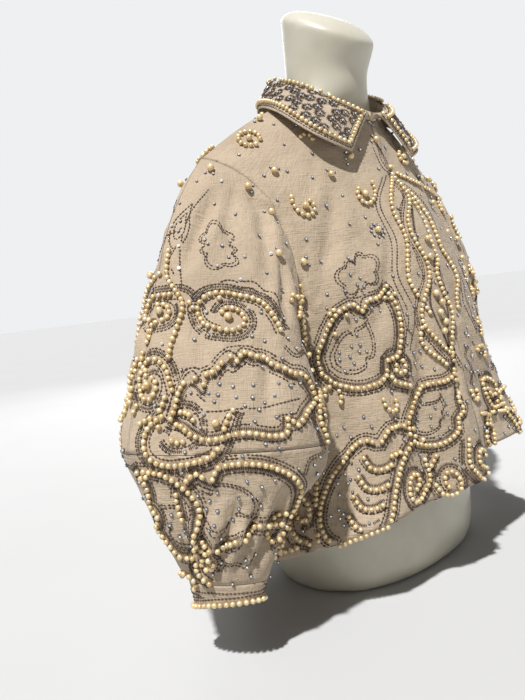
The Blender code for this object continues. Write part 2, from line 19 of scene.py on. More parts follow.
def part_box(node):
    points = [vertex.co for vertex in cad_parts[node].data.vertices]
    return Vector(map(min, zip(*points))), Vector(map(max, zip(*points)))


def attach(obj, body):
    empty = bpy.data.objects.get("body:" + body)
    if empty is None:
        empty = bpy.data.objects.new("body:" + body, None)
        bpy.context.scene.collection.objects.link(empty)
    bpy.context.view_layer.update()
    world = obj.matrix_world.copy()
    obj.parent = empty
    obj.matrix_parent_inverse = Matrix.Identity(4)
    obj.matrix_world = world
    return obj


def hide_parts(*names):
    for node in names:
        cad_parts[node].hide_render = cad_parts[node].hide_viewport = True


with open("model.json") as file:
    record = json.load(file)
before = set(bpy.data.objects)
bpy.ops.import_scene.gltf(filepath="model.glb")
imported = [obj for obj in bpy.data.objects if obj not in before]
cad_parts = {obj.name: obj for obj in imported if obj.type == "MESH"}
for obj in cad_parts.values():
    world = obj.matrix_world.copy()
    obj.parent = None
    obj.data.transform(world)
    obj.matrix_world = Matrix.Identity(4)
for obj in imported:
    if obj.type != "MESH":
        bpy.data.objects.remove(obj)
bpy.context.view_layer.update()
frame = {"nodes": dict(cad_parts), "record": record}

OPENINGS = {o["name"]: o["box_m"] for o in frame["record"]["physics"]["openings"]}


def new_object(name, data):
    """An object with its data, linked to the scene."""
    made = bpy.data.objects.new(name, data)
    bpy.context.scene.collection.objects.link(made)
    return made


# %% [markdown]
# The photograph was taken from the wearer's right and a little from the front, with the camera slightly tilted.
# A look-at constraint would be the easy way to aim, but it can't give the tilt, so the camera's three axes
# are worked out from its bearing, height and roll, and they also serve later to find what a pixel shows.

# %% Camera
BEARING = math.radians(-42)
HEIGHT_ANGLE = math.radians(4.8)
ROLL = math.radians(-6.95)
DISTANCE = 0.873
AIM = Vector((0, 0, 0.35))
SHIFT_RIGHT = -0.1143
SHIFT_UP = -0.071
FOCAL_PIXELS = 640
PHOTO_WIDTH = 525
PHOTO_HEIGHT = 700
SENSOR_MM = 36

back = Vector((math.sin(BEARING) * math.cos(HEIGHT_ANGLE), -math.cos(BEARING) * math.cos(HEIGHT_ANGLE),
               math.sin(HEIGHT_ANGLE)))
level_right = Vector((math.cos(BEARING), math.sin(BEARING), 0))
level_up = back.cross(level_right)
cam_right = level_right * math.cos(ROLL) + level_up * math.sin(ROLL)
cam_up = level_up * math.cos(ROLL) - level_right * math.sin(ROLL)
cam_place = AIM + cam_right * SHIFT_RIGHT + cam_up * SHIFT_UP + back * DISTANCE

camera = new_object("camera", bpy.data.cameras.new("camera"))
camera.data.lens = FOCAL_PIXELS * SENSOR_MM / PHOTO_HEIGHT
camera.data.sensor_width = SENSOR_MM
camera.matrix_world = Matrix.Translation(cam_place) @ Matrix((cam_right, cam_up, back)).transposed().to_4x4()
bpy.context.scene.camera = camera
print("camera at", [round(v, 3) for v in cam_place], "lens", round(camera.data.lens, 2))

# %% [markdown]
# Shader recipes are easier to read as sums than as boxes and wires.
# Value wraps one socket, so that writing weave * 0.5 + 1 or 1 - mask adds the Math nodes by itself.
# Nodes adds any other node to a tree, with its settings and inputs in one call: a material's tree here,
# and later the trees that put the beads in their places. Finish is such a tree with its material.

# %% Shader maths
def add_node(tree, kind, settings=None, values=None):
    """A node with its settings first, and then the values or links of its sockets."""
    made = tree.nodes.new(kind)
    for key, value in (settings or {}).items():
        setattr(made, key, value)
    for key, value in (values or {}).items():
        if isinstance(value, Value):
            value = value.socket
        if isinstance(value, bpy.types.NodeSocket):
            tree.links.new(value, made.inputs[key])
        else:
            made.inputs[key].default_value = value
    return made


class Value:
    """A socket that can be added, subtracted and multiplied, from either side."""

    def __init__(self, nodes, socket):
        self.nodes = nodes
        self.socket = socket

    def maths(self, operation, first, second):
        return self.nodes.node("ShaderNodeMath", {"operation": operation}, {0: first, 1: second})

    def __add__(self, other):
        return self.maths("ADD", self, other)

    def __radd__(self, other):
        return self.maths("ADD", other, self)

    def __sub__(self, other):
        return self.maths("SUBTRACT", self, other)

    def __rsub__(self, other):
        return self.maths("SUBTRACT", other, self)

    def __mul__(self, other):
        return self.maths("MULTIPLY", self, other)

    def __rmul__(self, other):
        return self.maths("MULTIPLY", other, self)


class Nodes:
    """A node tree and the one way to add a node to it and take its output."""

    def __init__(self, tree):
        self.tree = tree

    def node(self, kind, settings=None, values=None, out=0):
        return Value(self, add_node(self.tree, kind, settings, values).outputs[out])


class Finish(Nodes):
    """A material and the coordinates that its patterns read."""

    def __init__(self, name, **constants):
        self.material = bpy.data.materials.new(name)
        self.material.use_nodes = True
        super().__init__(self.material.node_tree)
        self.shader = self.tree.nodes["Principled BSDF"]
        for socket, value in constants.items():
            self.shader.inputs[socket.replace("_", " ")].default_value = value
        self.place = self.node("ShaderNodeTexCoord", out=3)

    def noise(self, scale, detail=2.0, place=None):
        keys = {"Vector": place or self.place, "Scale": scale, "Detail": detail}
        return self.node("ShaderNodeTexNoise", {}, keys)

    def between(self, value, low, high):
        return self.node("ShaderNodeMapRange", {}, {0: value, 1: low, 2: high})

    def feed(self, socket, value):
        self.tree.links.new(value.socket, self.shader.inputs[socket])

    def paint(self, amount, dark, light):
        keys = {0: amount, 6: (*dark, 1), 7: (*light, 1)}
        self.feed("Base Color", self.node("ShaderNodeMix", {"data_type": "RGBA"}, keys, out=2))

    def bump(self, height, distance, strength):
        keys = {"Strength": strength, "Distance": distance, "Height": height}
        self.feed("Normal", self.node("ShaderNodeBump", {}, keys))


# %% [markdown]
# The linen is a plain weave with uneven yarns, so it has short light slubs both ways, soft patches of tone
# and a dry nap. An image of linen would be quicker, but slubs made from stretched noise on the cloth's own
# UV map never repeat, and they turn with each panel's grain as real yarns do.

# %% Linen
YARNS_PER_METRE = 1100


def linen(name, light, dark):
    cloth = Finish(name, Roughness=0.88, Sheen_Weight=0.12, Sheen_Roughness=0.5)
    grain = cloth.node("ShaderNodeUVMap", {"uv_map": "cloth"})

    def streaks(across, along):
        keys = {"Vector": grain, "Scale": (across, along, 1)}
        return cloth.noise(1.0, place=cloth.node("ShaderNodeMapping", {}, keys))

    yarns = streaks(YARNS_PER_METRE, 60) * 0.5 + streaks(60, YARNS_PER_METRE) * 0.5
    slubs = cloth.between(streaks(700, 90) * 0.5 + streaks(90, 700) * 0.5, 0.40, 0.62)
    tone = yarns * 0.5 + slubs * 0.10 + cloth.noise(14, 4) * 0.58
    cloth.paint(cloth.between(tone, 0.35, 0.85), dark, light)
    cloth.feed("Roughness", 0.8 + slubs * 0.15)
    crumples = cloth.noise(42, 3) * 2.2 + cloth.noise(110, 2)
    cloth.bump(yarns * 0.5 + slubs * 0.2 + crumples * 0.7, 0.0022, 0.85)
    return cloth.material


LINEN = linen("linen_weave", (0.55, 0.435, 0.31), (0.33, 0.255, 0.175))
COLLAR_LINEN = linen("collar_weave", (0.57, 0.465, 0.345), (0.35, 0.275, 0.195))
print("linen made, yarns per metre:", YARNS_PER_METRE)

# %% [markdown]
# The beads are imitation pearls: a cream-gold coat with a soft gleam, no two of quite one tone.
# The thread is a dull dark brown, and the stones are small clear glass chips in blackened settings.
# True glass would need many light bounces for a chip of three millimetres,
# so a pale polished mirror stands for it.

# %% Pearl, thread, stone, setting and plastic
pearl = Finish("pearl_coat", Metallic=0.3, Coat_Roughness=0.16)
pearl_tone = pearl.noise(160, 1)
pearl.paint(pearl.between(pearl_tone, 0.3, 0.7), (0.50, 0.345, 0.15), (0.80, 0.635, 0.365))
pearl.feed("Coat Weight", 0.6 + pearl_tone * 0.4)
pearl.feed("Roughness", 0.24 + pearl.noise(600, 2) * 0.14)

thread = Finish("dark_thread", Roughness=0.7)
thread.paint(thread.between(thread.noise(90, 2), 0.35, 0.65), (0.035, 0.022, 0.016), (0.10, 0.062, 0.042))
thread.feed("Roughness", 0.55 + thread.noise(2500, 1) * 0.3)

stone = Finish("glass_chip", Roughness=0.08, Metallic=0.75)
stone.paint(stone.between(stone.noise(120, 1), 0.35, 0.65), (0.50, 0.63, 0.84), (0.93, 0.94, 0.95))
stone.feed("Roughness", 0.04 + stone.noise(900, 1) * 0.1)

setting = Finish("dark_setting", Roughness=0.4, Metallic=0.8)
setting.paint(setting.noise(700, 1), (0.05, 0.045, 0.045), (0.22, 0.19, 0.17))

plastic = Finish("cream_plastic", Roughness=0.36, Coat_Weight=0.25, Coat_Roughness=0.25)
plastic_haze = plastic.noise(22, 4)
plastic.paint(plastic.between(plastic_haze, 0.3, 0.7), (0.50, 0.465, 0.365), (0.57, 0.54, 0.445))
plastic.feed("Roughness", 0.3 + plastic_haze * 0.14)
plastic.bump(plastic.noise(1400, 2) * 0.6 + plastic_haze, 0.0003, 0.5)
print("finishes:", len(bpy.data.materials))

# %% [markdown]
# A panel's solid is a wall of flat facets, which would show as a low-poly garment.
# Its copy is merged, its triangles are paired back into quads, its rims are kept sharp with creases and then
# Subdivision Surface rounds the rest. Cloth simulation could relax it too, but it would move it off the frame.

# %% Middle lines of the garment
PANELS = {node: "body" for node in ("front_right", "front_left", "back_right", "back_left")}
for side in ("right", "left"):
    for part, line in (("upper_sleeve_front_", "upper_"), ("upper_sleeve_back_", "upper_"),
                       ("lower_sleeve_", "lower_"), ("cuff_", "lower_")):
        PANELS[part + side] = line + side
PANELS["collar_stand"] = "collar"
PANELS["collar_fall"] = "collar"


def middle(box):
    low, high = (Vector(corner) for corner in box)
    return (low + high) / 2


LINES = {"body": (Vector((0, -0.02, 0.14)), Vector((0, -0.02, 0.44)))}
for side in ("right", "left"):
    armhole, elbow, mouth = (middle(OPENINGS[side + name]) for name in ("_armhole", "_elbow", "_cuff_mouth"))
    LINES["upper_" + side] = (armhole, elbow)
    LINES["lower_" + side] = (elbow, mouth)
collar_middle = middle(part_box("collar_stand"))
LINES["collar"] = (collar_middle - Vector((0, 0, 0.05)), collar_middle + Vector((0, 0, 0.01)))


def outward(node, place):
    """The way from a panel's middle line to a place."""
    start, end = LINES[PANELS[node]]
    run = end - start
    share = max(0.0, min(1.0, (place - start).dot(run) / run.length_squared))
    return place - (start + run * share)


def facing(node, face):
    """How squarely a face looks away from the middle line, from -1 to 1."""
    return face.normal.dot(outward(node, face.center).normalized())


print("middle lines:", sorted(LINES))

# %% Smooth copies of the panels
SHARP = math.radians(50)
FLAT_PAIR = math.radians(40)
SQUARE_PAIR = math.radians(60)
SMOOTHING = 2


def settle(piece):
    """What the modifiers make becomes the object's own plain mesh."""
    ready = piece.evaluated_get(bpy.context.evaluated_depsgraph_get())
    piece.data = bpy.data.meshes.new_from_object(ready)
    piece.modifiers.clear()


def smooth_copy(node):
    """A copy of a node's mesh with quads, sharp rims and two levels of subdivision."""
    shape = bmesh.new()
    shape.from_mesh(frame["nodes"][node].data)
    bmesh.ops.remove_doubles(shape, verts=shape.verts, dist=1e-5)
    bmesh.ops.join_triangles(shape, faces=shape.faces, angle_face_threshold=FLAT_PAIR,
                             angle_shape_threshold=SQUARE_PAIR)
    crease = shape.edges.layers.float.new("crease_edge")
    for edge in shape.edges:
        if len(edge.link_faces) == 2 and edge.calc_face_angle() > SHARP:
            edge[crease] = 1.0
    mesh = bpy.data.meshes.new(node + "_cloth")
    shape.to_mesh(mesh)
    shape.free()
    cloth = new_object(node + "_cloth", mesh)
    rounding = cloth.modifiers.new("rounding", "SUBSURF")
    rounding.levels = SMOOTHING
    rounding.render_levels = SMOOTHING
    settle(cloth)
    return cloth


def dress(piece, material):
    piece.data.materials.clear()
    piece.data.materials.append(material)
    piece.data.shade_smooth()
    piece.data.set_sharp_from_angle(angle=SHARP)


cloths = {node: smooth_copy(node) for node in PANELS}
print("cloth faces:", sum(len(c.data.polygons) for c in cloths.values()))

# %% [markdown]
# Beads, stitches and creases all need to know where a spot of the photograph lies on the cloth.
# A bounding volume tree of the outer walls answers that for a ray or a nearest point in a few microseconds.
# The same rays from mirrored cameras reach the sides that the photograph doesn't show.

# %% The outer walls as one tree
VIEWS = {"photo": Vector((1, 1, 1)), "left": Vector((-1, 1, 1)), "rear": Vector((1, -1, 1)),
         "rear_left": Vector((-1, -1, 1))}
MIRROR_SHIFT = Vector((0, -0.03, 0))


def outer_walls():
    """The tree of all outer faces, and the panel that each face belongs to."""
    spots, faces, owners = [], [], []
    for node, cloth in cloths.items():
        base = len(spots)
        spots.extend(v.co.copy() for v in cloth.data.vertices)
        for face in cloth.data.polygons:
            if facing(node, face) > 0:
                faces.append([base + i for i in face.vertices])
                owners.append(node)
    return BVHTree.FromPolygons(spots, faces), owners


def cast(view, across, down):
    """The spot, normal and face where the ray through a pixel, or through its mirrored view, meets the cloth."""
    flip = VIEWS[view]
    aim = cam_right * (across - PHOTO_WIDTH / 2) + cam_up * (PHOTO_HEIGHT / 2 - down) - back * FOCAL_PIXELS
    start = cam_place * flip + (MIRROR_SHIFT if flip.y < 0 else Vector())
    return walls.ray_cast(start, (aim * flip).normalized())[:3]


walls, owners = outer_walls()
print("outer faces:", len(owners))

# %% [markdown]
# Linen that is pulled at a seam or gathered into a cuff has a few long soft troughs, and small crumples all over.
# They could be painted as bump, but the big ones change how light rolls over a sleeve,
# so each is a pull on the mesh along a named path, the same for all panels, so that it crosses a seam whole.
# The small crumples pull each panel its own way, so they fade out towards the seams.

# %% Creases
CREASES = (
    # pixels along the crease, width in metres, depth in metres
    (((220, 186), (203, 218), (192, 249), (184, 270)), 0.011, 0.0042),
    (((281, 256), (284, 284), (285, 330)), 0.009, 0.0040),
    (((298, 280), (303, 305), (311, 317)), 0.006, 0.0030),
    (((250, 190), (262, 215), (268, 260), (262, 300)), 0.012, 0.0030),
    (((236, 180), (228, 215), (232, 262)), 0.009, 0.0026),
    (((240, 500), (228, 540), (215, 580)), 0.010, 0.0045),
    (((262, 498), (248, 540), (232, 578)), 0.008, 0.0035),
    (((286, 490), (272, 530), (250, 572)), 0.009, 0.0040),
    (((205, 500), (203, 540), (203, 575)), 0.008, 0.0030),
    (((172, 490), (182, 530), (195, 572)), 0.009, 0.0035),
    (((172, 350), (180, 400), (178, 445)), 0.012, 0.0032),
    (((220, 360), (224, 400), (214, 445)), 0.010, 0.0022),
    (((334, 180), (330, 240), (322, 300)), 0.014, 0.0030),
    (((392, 230), (386, 290), (372, 350)), 0.012, 0.0024),
    (((420, 300), (424, 370), (418, 440)), 0.014, 0.0030),
    (((352, 400), (350, 450), (342, 510)), 0.010, 0.0028),
    (((250, 196), (276, 214), (292, 246)), 0.008, 0.0026),
    (((262, 330), (270, 372), (262, 420)), 0.010, 0.0030),
    (((190, 296), (205, 345), (200, 385)), 0.011, 0.0026),
    (((446, 320), (456, 372), (462, 430)), 0.010, 0.0026),
    (((388, 372), (398, 420), (392, 470)), 0.010, 0.0024),
    (((470, 250), (482, 310), (486, 360)), 0.010, 0.0026),
    (((150, 300), (146, 350), (140, 400)), 0.010, 0.0030),
)
CREASE_STEPS = 8
CREASE_BREAK = 0.03
FEWEST_SPOTS = 6
CRUMPLE_DEPTH = 0.0028
CRUMPLE_SIZE = 0.042
CREASE_SHARE = 1.7
CREASE_WIDTH = 0.62
RIDGE = 0.38
RIDGE_AWAY = 2.1
STILL_RIM = 0.010
RIM_TURN = math.radians(35)


def crease_path(view, path):
    """The crease as spots on the cloth, each with the cloth's normal."""
    spots = []
    for (x0, y0), (x1, y1) in zip(path, path[1:]):
        for step in range(CREASE_STEPS):
            share = step / CREASE_STEPS
            spot, normal, _ = cast(view, x0 + (x1 - x0) * share, y0 + (y1 - y0) * share)
            if spot and (not spots or (spot - spots[-1][0]).length < CREASE_BREAK):
                spots.append((spot, normal))
    return spots


creases = [(crease_path(view, path), width, depth) for view in VIEWS for path, width, depth in CREASES]
creases = [crease for crease in creases if len(crease[0]) >= FEWEST_SPOTS]
print("creases laid:", len(creases))


def crumple(node):
    """Pushes a panel in along its creases and roughens it, and gives the deepest push."""
    mesh = cloths[node].data
    count = len(mesh.vertices)
    places = np.empty(count * 3)
    mesh.vertices.foreach_get("co", places)
    places = places.reshape(-1, 3)
    rim = KDTree(count)
    for edge in mesh.edges:
        a, b = edge.vertices
        if mesh.vertices[a].normal.angle(mesh.vertices[b].normal, 0) > RIM_TURN:
            rim.insert(places[a], a)
    rim.balance()
    push = np.zeros_like(places)
    for spots, width, depth in creases:
        path = np.array([list(s) for s, _ in spots])
        ways = np.array([list(n) for _, n in spots])
        gaps = np.sqrt(((places[:, None, :] - path[None, :, :]) ** 2).sum(axis=2))
        nearest = gaps.argmin(axis=1)
        least = gaps[np.arange(count), nearest]
        fade = np.sin(np.pi * (nearest + 0.5) / len(path)) ** 0.6
        narrow = width * CREASE_WIDTH
        fall = np.exp(-(least / narrow) ** 2) - RIDGE * np.exp(-((least - RIDGE_AWAY * narrow) / narrow) ** 2)
        push -= (depth * CREASE_SHARE * fall * fade)[:, None] * ways[nearest]
    for i in range(count):
        spot = Vector(places[i])
        rough = noise.noise(spot / CRUMPLE_SIZE) + 0.5 * noise.noise(spot / CRUMPLE_SIZE * 2.3)
        gap = rim.find(spot)[2]
        free = 1.0 if gap is None else min(1.0, gap / STILL_RIM)
        push[i] += np.array(outward(node, spot).normalized()) * rough * free * CRUMPLE_DEPTH
    mesh.vertices.foreach_set("co", (places + push).ravel())
    mesh.update()
    return float(np.abs(push).max())


for node in PANELS:
    if PANELS[node] != "collar":
        print(node, "deepest push, mm:", round(crumple(node) * 1000, 2))
walls, owners = outer_walls()

# %% [markdown]
# A weave needs a UV map that runs with the grain: down the panel and round it.
# Unwrapping would choose its own directions, so each corner's place is worked out from the panel's middle line.

# %% Grain maps and finish of the panels
def grain_map(node):
    mesh = cloths[node].data
    start, end = LINES[PANELS[node]]
    axis = (end - start).normalized()
    ahead = Vector((0, -1, 0))
    ahead = (ahead - axis * ahead.dot(axis)).normalized()
    across = axis.cross(ahead)
    rows = []
    radii = []
    for vertex in mesh.vertices:
        reach = vertex.co - start
        rows.append((math.atan2(reach.dot(across), reach.dot(ahead)), reach.dot(axis)))
        radii.append(math.hypot(reach.dot(across), reach.dot(ahead)))
    radius = sum(radii) / len(radii)
    layer = mesh.uv_layers.new(name="cloth")
    for face in mesh.polygons:
        first = rows[face.vertices[0]][0]
        for corner, vertex in zip(face.loop_indices, face.vertices):
            angle, depth = rows[vertex]
            angle -= 2 * math.pi * round((angle - first) / (2 * math.pi))
            layer.data[corner].uv = (angle * radius, depth)
    return radius


for node, cloth in cloths.items():
    print(node, "mean radius, mm:", round(grain_map(node) * 1000))
    dress(cloth, COLLAR_LINEN if PANELS[node] == "collar" else LINEN)

# %% [markdown]
# The embroidery is worked from a small family of motifs: bent drops, leaves, scrolls, clouds and rings.
# Each is drawn flat from its own length and width, as an embroiderer chalks a paper pattern,
# so that one rule gives every size of it, and only its place, size and turn are chosen on the cloth.

# %% Flat drawing
def ray(angle):
    return Vector((math.cos(angle), math.sin(angle)))


def evenly(points, spacing):
    """Points along a line at one spacing."""
    kept = [Vector(points[0])]
    need = spacing
    for start, end in zip(points, points[1:]):
        run = (end - start).length
        done = 0.0
        while run - done >= need:
            done += need
            kept.append(start.lerp(end, done / run))
            need = spacing
        need -= run - done
    return kept


def curve(points, steps=10):
    """A smooth line through a few points, flat or in space."""
    points = [Vector(p) for p in points]
    ends = [points[0] * 2 - points[1]] + points + [points[-1] * 2 - points[-2]]
    line = []
    for a, b, c, d in zip(ends, ends[1:], ends[2:], ends[3:]):
        for i in range(steps):
            t = i / steps
            line.append(0.5 * (2 * b + (c - a) * t + (2 * a - 5 * b + 4 * c - d) * t ** 2
                               + (3 * b - a - 3 * c + d) * t ** 3))
    line.append(points[-1])
    return line


def sideways(line):
    """Each point of a line with the way to its left, without the points that have no direction."""
    last = len(line) - 1
    for i, point in enumerate(line):
        run = line[min(i + 1, last)] - line[max(i - 1, 0)]
        if run.length > 0:
            yield i, point, Vector((-run.y, run.x)).normalized()


def beside(line, gap):
    """The line moved to its left by a gap, without the loops that a sharp bend would give."""
    moved = [point + left * gap for _, point, left in sideways(line)]
    return [spot for spot in moved if all((spot - other).length > abs(gap) * 0.93 for other in line[::2])]


def uneven(line, length, notches=2):
    """The line with a slow wave and a few notches, as an edge drawn by hand has."""
    last = len(line) - 1
    nicks = [rng.uniform(0.12, 0.88) * last for _ in range(notches)]
    phase = rng.uniform(0, 6.28)
    moved = []
    for i, point, left in sideways(line):
        push = 0.028 * math.sin(phase + 4 * math.pi * i / last)
        for nick in nicks:
            push += 0.085 * max(0.0, 1 - abs(i - nick) / (0.035 * last))
        push *= min(1.0, i / 5, (last - i) / 5)
        moved.append(point + left * push * length)
    return moved


def drop(length, width, curl, steps=44):
    """The outline of a bent drop, from its round end up to the tip and down again."""
    left, right = [], []
    spot = Vector((0, -length / 2))
    for i in range(steps + 1):
        share = i / steps
        if share < 0.36:
            half = math.sqrt(max(0.0, 1 - (1 - share / 0.36) ** 2))
        else:
            half = math.cos(math.pi / 2 * (share - 0.36) / 0.64) ** 1.15
        lean = curl * share ** 2.4
        side = Vector((math.cos(lean), -math.sin(lean))) * half * width / 2
        left.append(spot - side)
        right.append(spot + side)
        spot = spot + Vector((math.sin(lean), math.cos(lean))) * length / steps
    return left + right[::-1][1:]


def spiral(size, turns, start=0.0, steps=40):
    """A line that winds in from its rim to near its middle."""
    shares = [i / steps for i in range(steps + 1)]
    return [ray(start - turns * 2 * math.pi * share) * (size / 2 * (1 - 0.78 * share)) for share in shares]


print("a 100 mm drop has", len(drop(0.1, 0.06, 1.2)), "outline points")

# %% [markdown]
# Most lines of the real work are built up from the same three things: a row of pearls, a band of short
# dark strokes just inside it, and one or two rows of back stitch just outside.
# A motif is therefore a list of strands, each with the kind of thing that is sewn along it.

# %% Motifs
PEARL = 0.0058
PEARL_STEP = 0.0063
BIG_PEARL = 0.0084
ROW_GAP = 0.0031
INNER = 0.0046
OUTER = 0.0052
MIDDLE = ("big", [Vector((0, 0))])
rng = random.Random(7)


def trimmed(line, rows=1, inner=INNER, outer=OUTER):
    """A pearl line with its strokes on the left and its back stitches on the right."""
    strands = [("pearls", line)]
    if inner:
        strands += [("strokes", beside(line, inner)), ("dashes", beside(line, inner + ROW_GAP * 1.2))]
    return strands + [("dashes", beside(line, -(outer + row * ROW_GAP))) for row in range(rows)]


def strewn(count, length, across, along):
    """Stones at random inside a motif, between two shares of its length each way."""
    return [("stone", [Vector((rng.uniform(*across), rng.uniform(*along))) * length]) for _ in range(count)]


def paisley(length):
    """A bent drop with a curled tip, a small drop of back stitch inside it and stones in its round end."""
    width = length * 0.56 * rng.uniform(0.92, 1.1)
    line = uneven(drop(length, width, rng.uniform(1.2, 1.8))[::-1], length)
    tip = line[len(line) // 2]
    low = Vector((0, -length * 0.14))
    strands = trimmed(line, 2 if length > 0.08 else 1)
    strands.append(("pearls", [tip + p - Vector((length * 0.10, 0)) for p in spiral(length * 0.20, 0.8)]))
    strands += [("dashes", [p * share + low for p in line]) for share in (0.52, 0.44)]
    return strands + strewn(int(length / 0.018), length, (-0.10, 0.10), (-0.36, 0.02))


def feathered(length):
    """A bent drop whose inner side is cut into rows of curved pearl barbs."""
    strands = trimmed(uneven(drop(length, length * 0.52, 1.4)[::-1], length, 1), 2)
    for i in range(4):
        rise = length * (-0.34 + 0.135 * i)
        arm = curve([(-length * 0.02, rise + length * 0.055), (length * 0.05, rise),
                     (length * 0.13, rise + length * 0.015), (length * 0.20, rise + length * 0.075)])
        strands += [("pearls", arm), ("strokes", beside(arm, 0.0044)), ("dashes", beside(arm, -0.0048))]
    return strands + strewn(int(length / 0.011), length, (-0.17, -0.03), (-0.34, 0.12))


def leaf(length):
    """A pointed leaf whose upper edge is scalloped, with stones along its rib."""
    low, high = [], []
    steps = 48
    for i in range(steps + 1):
        share = i / steps
        half = length * 0.5 / 2 * math.sin(math.pi * share) ** 0.75
        scallop = 1 + 0.20 * abs(math.sin(3.5 * math.pi * share))
        rise = length * (share - 0.5)
        low.append(Vector((half * 0.85, rise)))
        high.append(Vector((-half * scallop, rise)))
    strands = trimmed(uneven(high[::-1], length, 2), 2)
    strands += trimmed(uneven(low, length, 1))
    strands.append(("dashes", curve([(0, -length * 0.42), (length * 0.04, 0), (0, length * 0.36)])))
    for i in range(int(length / 0.011)):
        rise = length * (-0.33 + 0.66 * rng.random())
        strands.append(("stone", [Vector((rng.uniform(-0.13, 0.13) * length, rise))]))
    return strands + [("big", [Vector((length * 0.10, length * rise))]) for rise in (-0.2, 0.05)]


def scroll(length):
    """A row of pearls that winds in, with a short stem."""
    line = [Vector((p.x * 0.85, p.y * 1.2)) for p in spiral(length * 0.8, 1.15, math.pi * 0.9)]
    stem = curve([(-length * 0.10, -length * 0.72), (-length * 0.40, -length * 0.34), line[0]])
    line = uneven(stem + line[1:], length, 0)
    strands = [("pearls", line)]
    for row in range(3 if length > 0.05 else 2):
        strands.append(("strokes" if row == 1 else "dashes", beside(line, 0.0052 + ROW_GAP * row)))
    strands.append(("dashes", beside(line, -0.0048)[: int(len(line) * 0.6)]))
    return strands + [MIDDLE]


def cloud(length):
    """A wavy closed outline in two rows of back stitch, with a few stones inside."""
    strands = []
    steps = 70
    for inset in (1.0, 0.86):
        line = []
        for i in range(steps + 1):
            angle = 2 * math.pi * i / steps
            scallop = abs(math.sin(3.5 * angle))
            reach = length / 2 * inset * (0.58 + 0.24 * math.sin(angle * 2 + 0.9) + 0.22 * scallop)
            line.append(Vector((math.cos(angle) * reach * 0.8, math.sin(angle) * reach)))
        strands.append(("dashes", line))
    return strands + strewn(max(3, int(length / 0.014)), length, (-0.16, 0.16), (-0.24, 0.24))


def sprig(length):
    """A long narrow leaf in back stitch with a tail."""
    line = drop(length * 0.8, length * 0.3, 0.7)
    tail = curve([(0, -length * 0.38), (-length * 0.08, -length * 0.6), (length * 0.04, -length * 0.8)])
    return [("dashes", line), ("dashes", [p * 0.6 for p in line]), ("dashes", tail),
            ("stone", [Vector((0, -length * 0.1))]), ("stone", [Vector((0, length * 0.08))])]


def ring(length):
    """A closed ring of pearls round one pearl."""
    return [("pearls", [ray(a) * length / 2 for a in np.linspace(0, 2 * math.pi, 30)]), MIDDLE]


def hook(length):
    """A comma of pearls."""
    line = spiral(length * 0.9, 0.62, math.pi * 0.8)
    return [("pearls", line), ("big", [line[-1]])]


def star(length):
    """A ring of stones round one pearl."""
    return [MIDDLE] + [("stone", [ray(2 * math.pi * i / 9) * length / 2]) for i in range(9)]


def dot(length):
    """One large pearl with two stones beside it."""
    return [MIDDLE] + [("stone", [ray(angle) * length * 0.6]) for angle in (0.8, 2.2)]


def garland(length):
    """Arches of back stitch over a row of pearls."""
    strands = []
    for i in range(3):
        reach = length * (0.5 - 0.10 * i)
        arch = [Vector((math.cos(a) * reach, math.sin(a) * reach * 0.7 * (1 + 0.14 * abs(math.sin(a * 5)))))
                for a in np.linspace(0.1, math.pi - 0.1, 40)]
        strands.append(("dashes" if i < 2 else "pearls", arch))
    return strands


def vase(length):
    """A tall shape with two bellies and a column of large pearls, for the middle of the front."""
    strands = []
    steps = 60
    for hand in (-1, 1):
        line = []
        for i in range(steps + 1):
            share = i / steps
            belly = math.sin(math.pi * share) ** 0.6 * (0.66 + 0.44 * math.cos(4 * math.pi * (share - 0.30)))
            sway = 0.05 * length * math.sin(2 * math.pi * share)
            line.append(Vector((hand * belly * length * 0.26 / 2 + sway, length * (0.5 - share))))
        if hand < 0:
            line = line[::-1]
        strands += trimmed(line[::-1], 2, 0.0, 0.0055)
        scallops = []
        for i, p in enumerate(line):
            swell = 0.007 + 0.006 * abs(math.sin(7 * math.pi * i / steps))
            scallops.append(Vector((p.x + hand * swell, p.y)))
        strands += [("dashes", scallops), ("strokes", [Vector((p.x * 0.60, p.y * 0.86)) for p in line])]
    for i in range(int(length / 0.0125)):
        rise = length * 0.44 - i * 0.0115
        swing = 0.010 * math.sin(2 * math.pi * rise / length) + 0.0042 * (-1) ** i
        strands.append(("big", [Vector((swing, rise))]))
    return strands


def tendril(length):
    """A loose double line of back stitch that bends twice."""
    line = []
    for i in range(41):
        share = i / 40
        bend = math.sin(2 * math.pi * share) * (0.5 + share)
        line.append(Vector((bend * length * 0.3 * 0.5, length * (share - 0.5))))
    return [("dashes", line), ("dashes", beside(line, ROW_GAP)),
            ("stone", [Vector((-length * 0.1, -length * 0.2))])]


def curl(length):
    """A C of pearls with a large one inside, for the quiet parts."""
    line = [Vector((p.x * 0.8, p.y)) for p in spiral(length, 0.82, math.pi * 0.25)]
    return [("pearls", line), ("big", [Vector((length * 0.06, -length * 0.04))])]


MOTIFS = {motif.__name__: motif for motif in (paisley, feathered, leaf, scroll, cloud, sprig, ring, hook,
                                              star, dot, garland, vase, tendril, curl)}
print("motifs:", ", ".join(MOTIFS))

# %% [markdown]
# A flat pattern has to be laid on a rounded sleeve without stretching it.
# Projecting it straight on would squeeze its sides, so it is walked out: from the middle, in short steps along the
# cloth in many directions, which keeps every length, and each drawn point is found between those steps.

# %% Laying a flat pattern on the cloth
WALK_STEP = 0.005
WALK_WAYS = 24
LOST = 0.006


def is_mirrored(view):
    return VIEWS[view].x * VIEWS[view].y < 0


